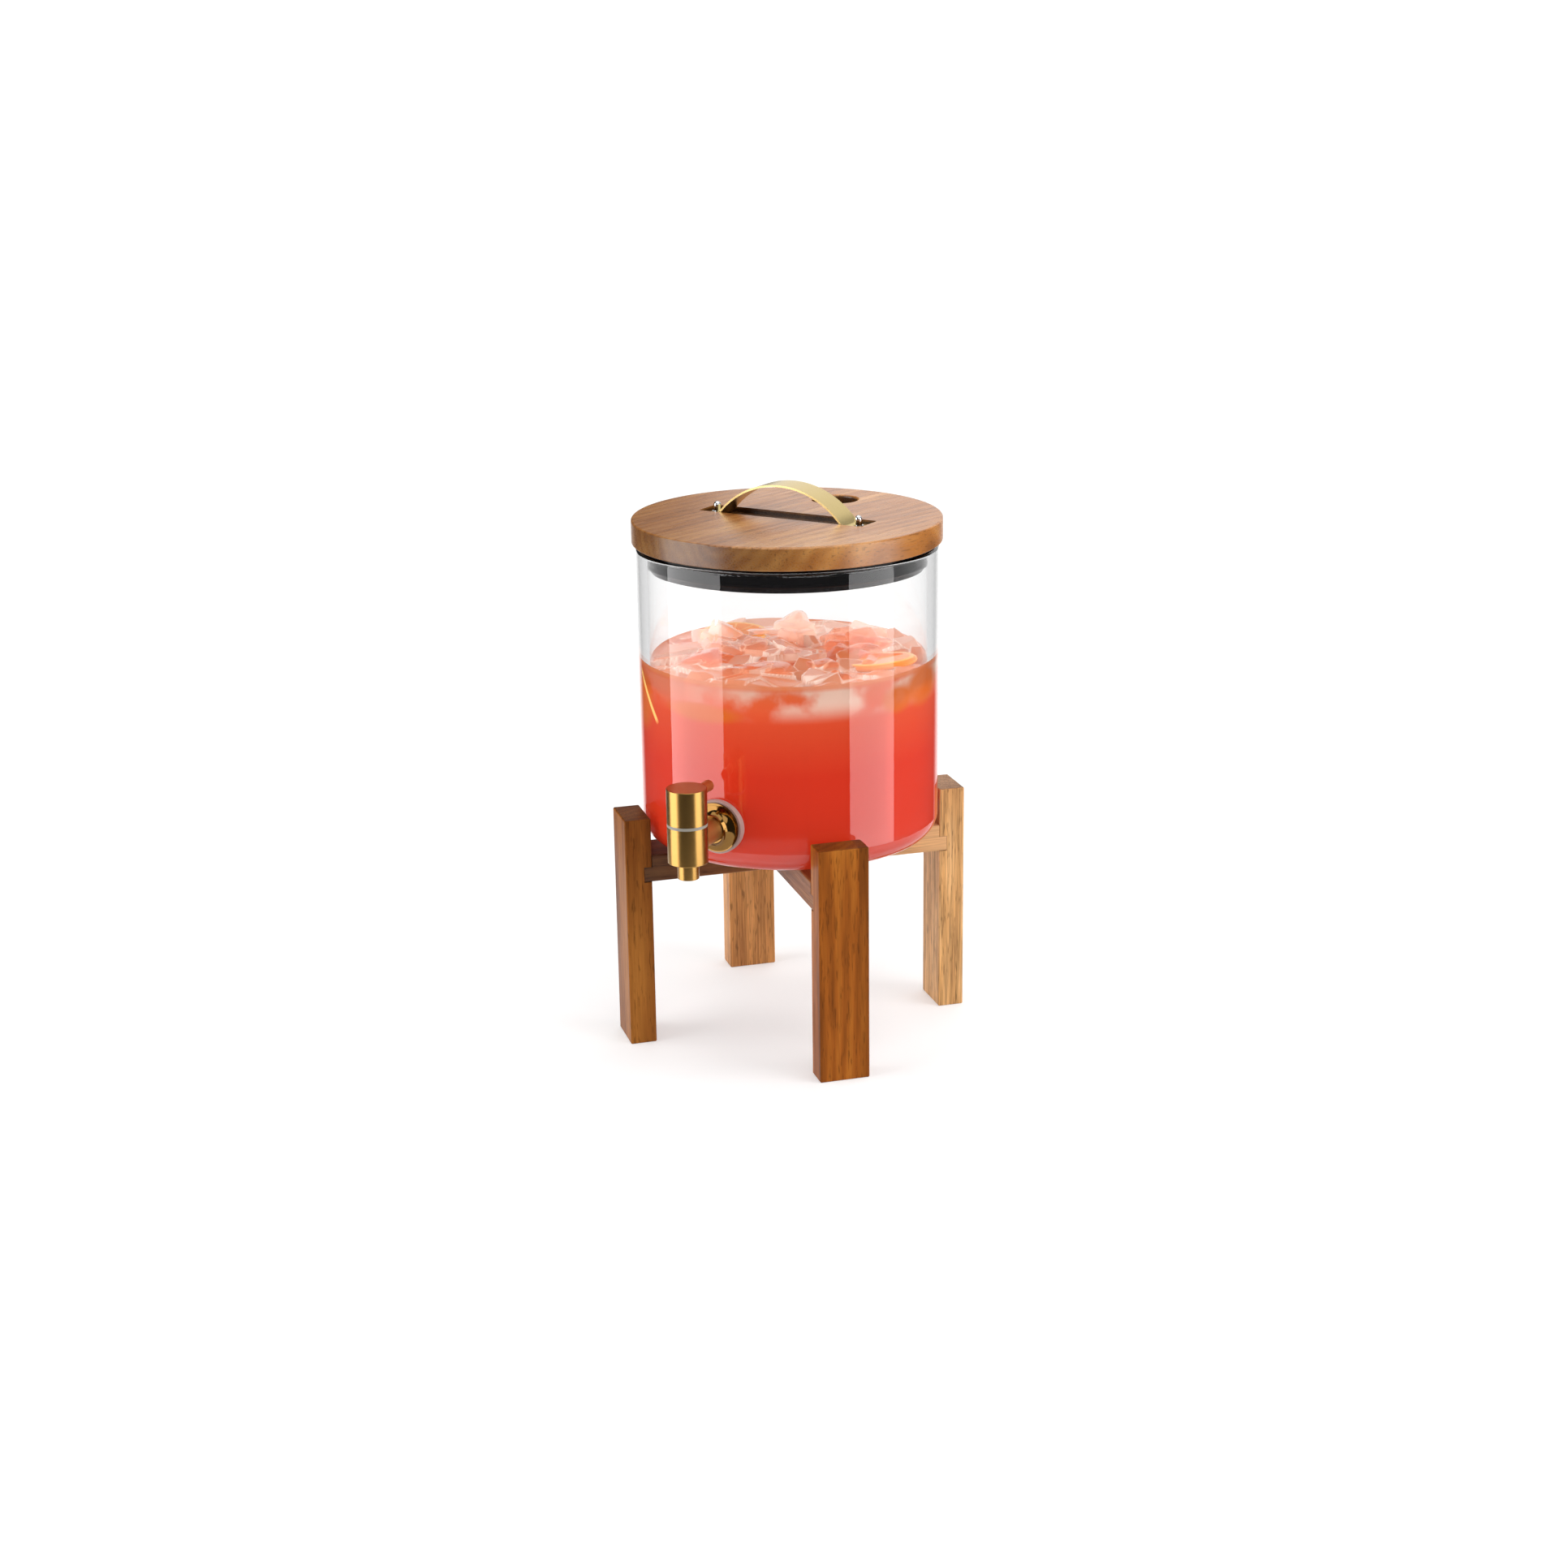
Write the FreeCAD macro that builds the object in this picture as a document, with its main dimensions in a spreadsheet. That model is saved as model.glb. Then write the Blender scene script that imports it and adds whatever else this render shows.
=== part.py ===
import FreeCAD, Part
import math
import os
import re
import Sketcher

# Drinks dispenser: a round glass jar with a brass tap, a wooden lid with a bowed strap handle,
# and a wooden cross stand. The origin is on the floor under the jar's axis, with +Z up.
# Lengths are millimetres and angles are degrees.

SIZES = {
    # Stand
    "leg_height": 155.0,
    "leg_width": 33.0,
    "leg_depth": 17.5,
    "bar_height": 18.0,
    "bar_drop": 25.0,
    "tongue_height": 10.0,
    "tongue_length": 5.3,
    "joint_gap": 0.15,
    "wood_edge": 1.0,
    # Jar
    "jar_side_gap": 1.6,
    "jar_radius": 97.4,
    "jar_height": 196.8,
    "jar_wall": 7.0,
    "jar_floor": 9.0,
    "jar_foot_radius": 66.0,
    "jar_base_slope": 9.0,
    "jar_corner": 14.0,
    "jar_inner_corner": 10.0,
    "rim_round": 2.4,
    "rest_gap": 0.2,
    # Tap fixing through the jar wall
    "tap_azimuth": -134.0,
    "tap_rise": 33.5,
    "tap_stand_off": 39.8,
    "stem_radius": 7.95,
    "stem_bore": 4.5,
    "stem_fit": 0.1,
    "stem_hole_gap": 0.8,
    "stem_tail": 3.0,
    "seam_gap": 0.05,
    "spigot_radius": 5.8,
    "washer_radius": 17.4,
    "washer_thick": 3.4,
    "inner_washer_radius": 15.0,
    "inner_washer_thick": 3.0,
    "flange_radius": 15.9,
    "flange_rim": 1.3,
    "flange_depth": 6.5,
    "flange_neck": 8.9,
    "nut_flats": 24.0,
    "nut_thick": 6.0,
    # Tap body, spout and valve
    "tap_radius": 12.65,
    "tap_body_height": 23.5,
    "tap_edge": 0.4,
    "spout_radius": 6.8,
    "spout_bore": 4.6,
    "spout_length": 10.7,
    "spout_thread_radius": 5.8,
    "spout_thread_length": 2.6,
    "valve_radius": 6.9,
    "valve_fit": 0.07,
    "valve_floor": 4.2,
    "valve_top_drop": 2.4,
    "valve_port": 3.8,
    "valve_web": 0.5,
    "valve_crown": 3.0,
    "valve_neck": 5.0,
    "valve_throat": 4.2,
    "oring_wire": 0.85,
    "oring_spacing": 2.3,
    "oring_drop": 1.5,
    "clip_thick": 0.9,
    "clip_reach": 0.7,
    "clip_overlap": 1.4,
    "clip_slit": 3.0,
    "glide_thick": 1.8,
    "glide_gap": 0.1,
    # Tap cap and lever
    "cap_height": 22.2,
    "cap_socket_depth": 19.0,
    "lever_radius": 3.6,
    "lever_reach": 28.2,
    "lever_drop": 6.0,
    "lever_dog_radius": 1.8,
    "lever_dog_length": 3.2,
    # Lid and seal
    "lid_turn": -47.0,
    "lid_radius": 100.0,
    "lid_thick": 15.0,
    "lid_edge": 1.2,
    "lid_lower_edge": 0.8,
    "lid_step_depth": 15.7,
    "seal_flange_thick": 1.8,
    "seal_flange_inset": 0.5,
    "seal_sleeve_thick": 4.2,
    "seal_lip_gap": 0.3,
    "seal_lip_reach": 0.7,
    "seal_lip_height": 1.2,
    "seal_lip_drop": 2.6,
    "seal_lead_height": 3.0,
    "seal_lead_taper": 1.6,
    "seal_fit": 0.1,
    "hole_radius": 15.0,
    "hole_offset": 62.5,
    "hole_round": 1.7,
    "slot_end_gap": 2.7,
    "slot_side_gap": 0.75,
    "slot_depth": 3.4,
    "slot_corner": 2.0,
    # Strap handle and its fasteners
    "strap_width": 19.5,
    "strap_thick": 1.2,
    "strap_radius": 59.6,
    "strap_rise": 21.0,
    "strap_bend": 3.0,
    "strap_corner": 6.0,
    "screw_spacing": 104.8,
    "foot_tail": 5.2,
    "screw_radius": 1.5,
    "screw_gap": 0.15,
    "screw_head_radius": 2.8,
    "screw_head_height": 2.0,
    "screw_recess": 14.0,
    "cap_nut_height": 7.0,
    "cap_nut_radius": 2.45,
    "cap_nut_flange": 3.35,
    "cap_nut_flange_thick": 0.8,
    "cap_nut_depth": 4.6,
}

# Sizes that follow from the driving ones.
RULES = {
    "leg_inner": "jar_radius + jar_side_gap",
    "leg_outer": "leg_inner + leg_depth",
    "bar_top": "leg_height - bar_drop",
    "bar_bottom": "bar_top - bar_height",
    "shoulder": "leg_inner - joint_gap",
    "tongue_end": "leg_inner + tongue_length - joint_gap",
    "tongue_top": "bar_bottom + tongue_height",
    "lap_level": "bar_bottom + bar_height / 2",
    "jar_base": "bar_top + rest_gap",
    "jar_bore": "jar_radius - jar_wall",
    "jar_base_rise": "(jar_radius - jar_foot_radius) * tan(jar_base_slope)",
    "jar_top": "jar_base + jar_height",
    "tap_level": "jar_base + tap_rise",
    "tap_reach": "jar_radius + tap_stand_off",
    "washer_face": "jar_radius + washer_thick",
    "inner_washer_face": "jar_bore - inner_washer_thick",
    "nut_face": "inner_washer_face - nut_thick",
    "stem_start": "nut_face - stem_tail",
    "tap_bottom": "-tap_body_height / 2",
    "tap_top": "tap_body_height / 2",
    "valve_bore": "valve_radius + valve_fit",
    "valve_bottom": "tap_bottom + valve_floor",
    "valve_top": "tap_top - valve_top_drop",
    "clip_level": "valve_top + glide_gap",
    "cap_bottom": "tap_top + glide_thick + glide_gap",
    "cap_top": "cap_bottom + cap_height",
    "lever_level": "cap_top - lever_drop",
    "lever_shoulder": "valve_neck + valve_fit",
    "neck_top": "cap_bottom + cap_socket_depth - glide_gap",
    "spigot_end": "tap_reach - valve_bore - seam_gap",
    "lid_bottom": "jar_top + rest_gap + seal_flange_thick",
    "lid_top": "lid_bottom + lid_thick",
    "seal_radius": "jar_bore - seal_lip_gap - seal_lip_reach",
    "seal_lip_radius": "jar_bore - seal_lip_gap",
    "seal_bore": "seal_radius - seal_sleeve_thick",
    "lid_step_radius": "seal_bore - seal_fit",
    "lid_step_bottom": "-lid_thick - lid_step_depth",
    "strap_centre": "strap_rise - strap_radius",
    "foot_bottom": "-slot_depth",
    "foot_top": "strap_thick - slot_depth",
    "bend_level": "foot_top + strap_bend",
    "bend_out": "sqrt((strap_radius + strap_bend)^2 - (bend_level - strap_centre)^2)",
    "bend_share_outer": "strap_radius / (strap_radius + strap_bend)",
    "bend_share_inner": "(strap_radius - strap_thick) / (strap_radius + strap_bend)",
    "arch_outer_end": "bend_out * bend_share_outer",
    "arch_outer_level": "strap_centre + (bend_level - strap_centre) * bend_share_outer",
    "arch_inner_end": "bend_out * bend_share_inner",
    "arch_inner_level": "strap_centre + (bend_level - strap_centre) * bend_share_inner",
    "foot_end": "screw_spacing / 2 + foot_tail",
    "slot_length": "2 * (foot_end + slot_end_gap)",
    "slot_width": "strap_width + 2 * slot_side_gap",
    "screw_seat": "lid_step_bottom + screw_recess",
    "screw_bore": "screw_radius + screw_gap",
}

LEG_TURNS = {"leg_right": "0", "leg_rear": "90", "leg_left": "180", "leg_front": "270"}
HEX_CORNERS = 6
TOLERANCE = 0.001

doc = FreeCAD.newDocument("DrinksDispenser")
sheet = doc.addObject("Spreadsheet::Sheet", "Sizes")
for row, (alias, number) in enumerate(SIZES.items(), start=1):
    sheet.set(f"A{row}", alias)
    sheet.set(f"B{row}", str(number))
    sheet.setAlias(f"B{row}", alias)
doc.recompute()


def link(formula):
    """Write a formula of size names as an expression on the size sheet."""
    def swap(match):
        word = match.group(0)
        if word in RULES:
            return f"({link(RULES[word])})"
        return f"Sizes.{word}" if word in SIZES else word
    return re.sub(r"[a-z_]+", swap, formula)


def measure(formula):
    """Work a formula of size names out to a number."""
    return float(sheet.evalExpression(link(formula)))


def bind(thing, path, formula):
    """Tie one property of an object to the size sheet."""
    thing.setExpression(path, link(formula))


def new_body(label, turn="0", reach="0", level="0"):
    """Start a sub-part turned about Z, then set out along its own X and up Z."""
    body = doc.addObject("PartDesign::Body", label)
    body.Label = label
    bind(body, "Placement.Base.x", f"({reach}) * cos({turn})")
    bind(body, "Placement.Base.y", f"({reach}) * sin({turn})")
    bind(body, "Placement.Base.z", level)
    bind(body, "Placement.Rotation.Angle", f"({turn}) * 1deg")
    return body


def plane_of(body, role):
    """Find one of a body's own origin planes."""
    return next(item for item in body.Origin.OriginFeatures if item.Role == role)


def new_sketch(body, role, name):
    """Start a sketch on one of a body's own origin planes."""
    sketch = body.newObject("Sketcher::SketchObject", name)
    sketch.AttachmentSupport = (plane_of(body, role), [""])
    sketch.MapMode = "FlatFace"
    return sketch


def pin_point(sketch, curve, end, across, along):
    """Hold one point of a sketch at two coordinates from the size sheet."""
    for kind, axis, formula in (("DistanceX", -2, across), ("DistanceY", -1, along)):
        if formula == "0":
            sketch.addConstraint(Sketcher.Constraint("PointOnObject", curve, end, axis))
            continue
        rule = Sketcher.Constraint(kind, -1, 1, curve, end, measure(formula))
        bind(sketch, f"Constraints[{sketch.addConstraint(rule)}]", formula)


def arc_between(start, finish, radius, side):
    """Make the shorter arc of a radius, with its centre left or right of the way from start to finish."""
    chord = finish - start
    middle = (start + finish) * 0.5
    reach = math.sqrt(radius ** 2 - (chord.Length / 2) ** 2)
    normal = FreeCAD.Vector(-chord.y, chord.x, 0).normalize()
    centre = middle + normal * (reach if side == "left" else -reach)
    crest = centre + (middle - centre).normalize() * radius
    return Part.Arc(start, crest, finish)


def outline(body, role, name, corners):
    """Draw a closed outline. A corner is (across, along), with (radius, side) where an arc leaves it."""
    sketch = new_sketch(body, role, name)
    points = [FreeCAD.Vector(measure(corner[0]), measure(corner[1]), 0) for corner in corners]
    ends = []
    for index, corner in enumerate(corners):
        start = points[index]
        finish = points[(index + 1) % len(points)]
        if len(corner) == 2:
            curve = sketch.addGeometry(Part.LineSegment(start, finish))
        else:
            curve = sketch.addGeometry(arc_between(start, finish, measure(corner[2]), corner[3]))
        forward = sketch.getPoint(curve, 1).distanceToPoint(start) < TOLERANCE
        ends.append((1, 2) if forward else (2, 1))
    for index, corner in enumerate(corners):
        following = (index + 1) % len(corners)
        joint = Sketcher.Constraint("Coincident", index, ends[index][1], following, ends[following][0])
        sketch.addConstraint(joint)
        pin_point(sketch, index, ends[index][0], corner[0], corner[1])
        if len(corner) > 2:
            rule = Sketcher.Constraint("Radius", index, measure(corner[2]))
            bind(sketch, f"Constraints[{sketch.addConstraint(rule)}]", corner[2])
    return sketch


def rectangle(low_across, low_along, high_across, high_along):
    """List the corners of an upright rectangle."""
    return [
        (low_across, low_along),
        (high_across, low_along),
        (high_across, high_along),
        (low_across, high_along),
    ]


def add_circle(sketch, across, along, radius):
    """Add one circle to a sketch."""
    centre = FreeCAD.Vector(measure(across), measure(along), 0)
    normal = FreeCAD.Vector(0, 0, 1)
    curve = sketch.addGeometry(Part.Circle(centre, normal, measure(radius)))
    pin_point(sketch, curve, 3, across, along)
    rule = Sketcher.Constraint("Radius", curve, measure(radius))
    bind(sketch, f"Constraints[{sketch.addConstraint(rule)}]", radius)


def circles(body, role, name, places):
    """Draw circles, each (across, along, radius)."""
    sketch = new_sketch(body, role, name)
    for across, along, radius in places:
        add_circle(sketch, across, along, radius)
    return sketch


def revolve(body, sketch, name, axis="V_Axis", cut=False):
    """Turn an outline a full turn about an axis of its sketch."""
    kind = "PartDesign::Groove" if cut else "PartDesign::Revolution"
    feature = body.newObject(kind, name)
    feature.Profile = sketch
    feature.ReferenceAxis = (sketch, [axis])
    feature.Angle = 360
    return settle(body, feature, cut)


def pad(body, sketch, name, length, both_ways=False, reverse=False):
    """Pull an outline out along its normal."""
    feature = body.newObject("PartDesign::Pad", name)
    feature.Profile = sketch
    feature.Midplane = both_ways
    feature.Reversed = reverse
    bind(feature, "Length", length)
    return settle(body, feature, False)


def pocket(body, sketch, name, depth, both_ways=False, reverse=False):
    """Cut an outline in along its normal."""
    feature = body.newObject("PartDesign::Pocket", name)
    feature.Profile = sketch
    feature.Midplane = both_ways
    feature.Reversed = reverse
    bind(feature, "Length", depth)
    return settle(body, feature, True)


def settle(body, feature, cut):
    """Build a feature, and make sure that a cut has taken something away."""
    doc.recompute()
    if cut and feature.Shape.Volume >= feature.BaseFeature.Shape.Volume - TOLERANCE:
        raise RuntimeError(f"{body.Label}: {feature.Name} cuts nothing")
    return feature


def round_edges(body, feature, name, radius, choose):
    """Round the edges of a feature that a test picks."""
    names = [f"Edge{i}" for i, edge in enumerate(feature.Shape.Edges, start=1) if choose(edge)]
    rounding = body.newObject("PartDesign::Fillet", name)
    rounding.Base = (feature, names)
    bind(rounding, "Radius", radius)
    return settle(body, rounding, False)


def is_ring(edge, radius, level):
    """Tell whether an edge is a level circle about the body's own Z axis."""
    if not isinstance(edge.Curve, Part.Circle):
        return False
    centre = edge.Curve.Center
    apart = abs(edge.Curve.Radius - measure(radius)) + abs(centre.z - measure(level))
    return apart + math.hypot(centre.x, centre.y) < TOLERANCE


def make_leg(label, turn):
    """A rectangular leg, housed across its inner face for the tongue of a crossbar."""
    body = new_body(label, turn)
    section = rectangle("leg_inner", "-leg_width / 2", "leg_outer", "leg_width / 2")
    post = pad(body, outline(body, "XY_Plane", "Section", section), "Post", "leg_height")
    round_edges(body, post, "SoftEdges", "wood_edge", lambda edge: True)
    housing = rectangle("leg_inner - leg_depth", "bar_bottom - joint_gap",
                        "leg_inner + tongue_length", "tongue_top + joint_gap")
    cut = outline(body, "XZ_Plane", "HousingOutline", housing)
    pocket(body, cut, "Housing", "2 * leg_width", both_ways=True)
    return body


def make_crossbar(label, turn, lap_from, lap_to):
    """A bar with a shouldered tongue at each end and a half-lap in the middle."""
    body = new_body(label, turn)
    side = [
        ("-tongue_end", "bar_bottom"),
        ("tongue_end", "bar_bottom"),
        ("tongue_end", "tongue_top"),
        ("shoulder", "tongue_top"),
        ("shoulder", "bar_top"),
        ("-shoulder", "bar_top"),
        ("-shoulder", "tongue_top"),
        ("-tongue_end", "tongue_top"),
    ]
    rail = pad(body, outline(body, "XZ_Plane", "Side", side), "Rail", "leg_width", both_ways=True)

    def is_long_edge(edge):
        box = edge.BoundBox
        level = min(abs(box.ZMin - measure("bar_top")), abs(box.ZMin - measure("bar_bottom")))
        return box.XLength > measure("shoulder") and box.ZLength + level < TOLERANCE

    round_edges(body, rail, "SoftEdges", "wood_edge", is_long_edge)
    half = "leg_width / 2 + joint_gap"
    lap = rectangle(f"-({half})", lap_from, half, lap_to)
    pocket(body, outline(body, "XZ_Plane", "LapOutline", lap), "Lap", "2 * leg_width", both_ways=True)
    return body


def make_jar():
    """A straight thick-walled jar with a rounded base and one hole for the tap."""
    body = new_body("glass_jar", "tap_azimuth", "0", "jar_base")
    wall = [
        ("0", "0"),
        ("jar_foot_radius", "0"),
        ("jar_radius", "jar_base_rise"),
        ("jar_radius", "jar_height"),
        ("jar_bore", "jar_height"),
        ("jar_bore", "jar_floor"),
        ("0", "jar_floor"),
    ]
    shell = revolve(body, outline(body, "XZ_Plane", "Wall", wall), "Shell")
    shell = round_edges(body, shell, "BaseCorner", "jar_corner",
                        lambda edge: is_ring(edge, "jar_radius", "jar_base_rise"))
    shell = round_edges(body, shell, "InnerCorner", "jar_inner_corner",
                        lambda edge: is_ring(edge, "jar_bore", "jar_floor"))
    round_edges(body, shell, "Rim", "rim_round",
                lambda edge: is_ring(edge, "jar_radius", "jar_height")
                or is_ring(edge, "jar_bore", "jar_height"))
    hole = circles(body, "YZ_Plane", "TapHoleOutline", [("0", "tap_rise", "stem_radius + stem_hole_gap")])
    pocket(body, hole, "TapHole", "jar_radius", reverse=True)
    return body


def make_tap_fixing():
    """The flange, washers, nut and stem that hold the tap through the jar wall, along the stem's axis."""
    place = ("tap_azimuth", "0", "tap_level")
    stem_clear = "stem_radius + stem_fit"

    flange = new_body("tap_flange", *place)
    flare = [
        ("washer_face", stem_clear),
        ("washer_face", "flange_radius"),
        ("washer_face + flange_rim", "flange_radius", "flange_radius - flange_neck", "left"),
        ("washer_face + flange_depth", "flange_neck"),
        ("washer_face + flange_depth", stem_clear),
    ]
    revolve(flange, outline(flange, "XZ_Plane", "Flare", flare), "Cone", "H_Axis")

    outer = new_body("tap_outer_washer", *place)
    ring = rectangle("jar_bore", stem_clear, "washer_face", "washer_radius")
    revolve(outer, outline(outer, "XZ_Plane", "Ring", ring), "Disc", "H_Axis")
    seat = rectangle("0", "-washer_radius * 2", "jar_radius + seam_gap", "washer_radius * 2")
    revolve(outer, outline(outer, "XZ_Plane", "SeatOutline", seat), "Seat", cut=True)

    inner = new_body("tap_inner_washer", *place)
    ring = rectangle("inner_washer_face", stem_clear, "jar_radius", "inner_washer_radius")
    revolve(inner, outline(inner, "XZ_Plane", "Ring", ring), "Disc", "H_Axis")
    seat = rectangle("jar_bore - seam_gap", "-inner_washer_radius * 2",
                     "jar_radius + inner_washer_radius", "inner_washer_radius * 2")
    revolve(inner, outline(inner, "XZ_Plane", "SeatOutline", seat), "Seat", cut=True)

    nut = new_body("tap_nut", *place)
    corner = "nut_flats / 2 / cos(30)"
    turns = [360 / HEX_CORNERS * (step + 0.5) for step in range(HEX_CORNERS)]
    corners = [(f"{corner} * cos({turn})", f"{corner} * sin({turn})") for turn in turns]
    hexagon = outline(nut, "YZ_Plane", "Hexagon", corners)
    add_circle(hexagon, "0", "0", stem_clear)
    bind(hexagon, "AttachmentOffset.Base.z", "nut_face")
    pad(nut, hexagon, "Nut", "nut_thick")

    stem = new_body("tap_stem", *place)
    tube = rectangle("stem_start", "stem_bore", "tap_reach", "stem_radius")
    revolve(stem, outline(stem, "XZ_Plane", "Tube", tube), "Barrel", "H_Axis")
    saddle = circles(stem, "XY_Plane", "SaddleOutline", [("tap_reach", "0", "tap_radius + seam_gap")])
    pocket(stem, saddle, "Saddle", "4 * stem_radius", both_ways=True)
    spigot = rectangle("tap_reach - tap_radius - spigot_radius", "stem_bore",
                       "spigot_end", "spigot_radius")
    revolve(stem, outline(stem, "XZ_Plane", "SpigotOutline", spigot), "Spigot", "H_Axis")
    return [flange, outer, inner, nut, stem]


def make_tap_body():
    """The fixed half of the tap: valve housing, spout, glide ring and the clip that keeps the valve in."""
    place = ("tap_azimuth", "tap_reach", "tap_level")

    housing = new_body("tap_body", *place)
    clip_bore = "valve_bore + clip_reach"
    wall = [
        ("spout_thread_radius + stem_fit", "tap_bottom"),
        ("tap_radius", "tap_bottom"),
        ("tap_radius", "tap_top"),
        ("valve_bore", "tap_top"),
        ("valve_bore", "clip_level + clip_thick + glide_gap"),
        (clip_bore, "clip_level + clip_thick + glide_gap"),
        (clip_bore, "clip_level - seam_gap"),
        ("valve_bore", "clip_level - seam_gap"),
        ("valve_bore", "valve_bottom - glide_gap"),
        ("valve_throat", "valve_bottom - glide_gap"),
        ("valve_throat", "tap_bottom + spout_thread_length + seam_gap"),
        ("spout_thread_radius + stem_fit", "tap_bottom + spout_thread_length + seam_gap"),
    ]
    barrel = revolve(housing, outline(housing, "XZ_Plane", "Wall", wall), "Barrel")
    round_edges(housing, barrel, "LowerEdge", "tap_edge",
                lambda edge: is_ring(edge, "tap_radius", "tap_bottom"))
    inlet = circles(housing, "YZ_Plane", "InletOutline", [("0", "0", "spigot_radius + seam_gap")])
    pocket(housing, inlet, "Inlet", "2 * tap_radius")

    spout = new_body("tap_spout", *place)
    tube = [
        ("spout_bore", "tap_bottom - spout_length"),
        ("spout_radius", "tap_bottom - spout_length"),
        ("spout_radius", "tap_bottom"),
        ("spout_thread_radius", "tap_bottom"),
        ("spout_thread_radius", "tap_bottom + spout_thread_length"),
        ("spout_bore", "tap_bottom + spout_thread_length"),
    ]
    nozzle = revolve(spout, outline(spout, "XZ_Plane", "Tube", tube), "Nozzle")
    round_edges(spout, nozzle, "LowerEdge", "tap_edge",
                lambda edge: is_ring(edge, "spout_radius", "tap_bottom - spout_length"))

    glide = new_body("tap_glide_ring", *place)
    ring = rectangle("valve_bore", "tap_top", "tap_radius", "tap_top + glide_thick")
    revolve(glide, outline(glide, "XZ_Plane", "Ring", ring), "Disc")

    clip = new_body("valve_clip", *place)
    ring = rectangle("valve_bore - clip_overlap", "clip_level",
                     "valve_bore + clip_reach - seam_gap", "clip_level + clip_thick")
    revolve(clip, outline(clip, "XZ_Plane", "Ring", ring), "Loop")
    slit = rectangle("0", "-clip_slit / 2", "tap_radius", "clip_slit / 2")
    cut = outline(clip, "XY_Plane", "SlitOutline", slit)
    pocket(clip, cut, "Slit", "2 * tap_body_height", both_ways=True)
    return [housing, spout, glide, clip]


def make_tap_knob():
    """The turning half of the tap: cap, lever, and the hollow valve plug with its two rings."""
    place = ("tap_azimuth", "tap_reach", "tap_level")

    cap = new_body("tap_cap", *place)
    socket = "valve_neck + valve_fit"
    wall = [
        ("0", "cap_top"),
        ("0", "cap_bottom + cap_socket_depth"),
        (socket, "cap_bottom + cap_socket_depth"),
        (socket, "cap_bottom"),
        ("tap_radius", "cap_bottom"),
        ("tap_radius", "cap_top"),
    ]
    crown = revolve(cap, outline(cap, "XZ_Plane", "Wall", wall), "Crown")
    round_edges(cap, crown, "UpperEdge", "tap_edge",
                lambda edge: is_ring(edge, "tap_radius", "cap_top"))
    bore = circles(cap, "YZ_Plane", "LeverBoreOutline", [("0", "lever_level", "lever_radius + seam_gap")])
    pocket(cap, bore, "LeverBore", "2 * tap_radius")

    lever = new_body("lever_pin", *place)
    rod = [
        ("-lever_reach", "0"),
        ("-lever_reach", "lever_radius"),
        ("-lever_shoulder", "lever_radius"),
        ("-lever_shoulder", "lever_dog_radius"),
        ("-lever_shoulder + lever_dog_length", "lever_dog_radius"),
        ("-lever_shoulder + lever_dog_length", "0"),
    ]
    sketch = outline(lever, "XZ_Plane", "Rod", rod)
    bind(lever, "Placement.Base.z", "tap_level + lever_level")
    shaft = revolve(lever, sketch, "Shaft", "H_Axis")
    round_edges(lever, shaft, "Tip", "tap_edge",
                lambda edge: abs(edge.BoundBox.XMax + measure("lever_reach")) < TOLERANCE)

    plug = new_body("valve_plug", *place)
    groove = "valve_radius - 2 * oring_wire + valve_fit"
    upper = "valve_top - oring_drop"
    lower = f"{upper} - oring_spacing"
    profile = [
        ("valve_throat", "valve_bottom"),
        ("valve_radius", "valve_bottom"),
        ("valve_radius", f"{lower} - oring_wire"),
        (groove, f"{lower} - oring_wire"),
        (groove, f"{lower} + oring_wire"),
        ("valve_radius", f"{lower} + oring_wire"),
        ("valve_radius", f"{upper} - oring_wire"),
        (groove, f"{upper} - oring_wire"),
        (groove, f"{upper} + oring_wire"),
        ("valve_radius", f"{upper} + oring_wire"),
        ("valve_radius", "valve_top"),
        ("valve_neck", "valve_top"),
        ("valve_neck", "neck_top"),
        ("0", "neck_top"),
        ("0", "valve_top - valve_crown"),
        ("valve_throat", "valve_port + valve_web"),
    ]
    revolve(plug, outline(plug, "XZ_Plane", "Profile", profile), "Core")
    port = circles(plug, "XZ_Plane", "PortOutline", [("0", "0", "valve_port")])
    pocket(plug, port, "Port", "2 * valve_radius")
    dog = circles(plug, "YZ_Plane", "DogOutline", [("0", "lever_level", "lever_dog_radius + seam_gap")])
    pocket(plug, dog, "DogHole", "2 * valve_neck")

    rings = new_body("valve_orings", *place)
    wire_radius = "oring_wire - valve_fit / 2"
    wire = circles(rings, "XZ_Plane", "Wire", [("valve_radius - oring_wire + valve_fit", lower, wire_radius)])
    first = revolve(rings, wire, "Ring")
    pair = rings.newObject("PartDesign::LinearPattern", "Pair")
    pair.Originals = [first]
    pair.Direction = (wire, ["V_Axis"])
    pair.Occurrences = 2
    bind(pair, "Length", "oring_spacing")
    rings.Tip = pair
    doc.recompute()
    return [cap, lever, plug, rings]


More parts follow.
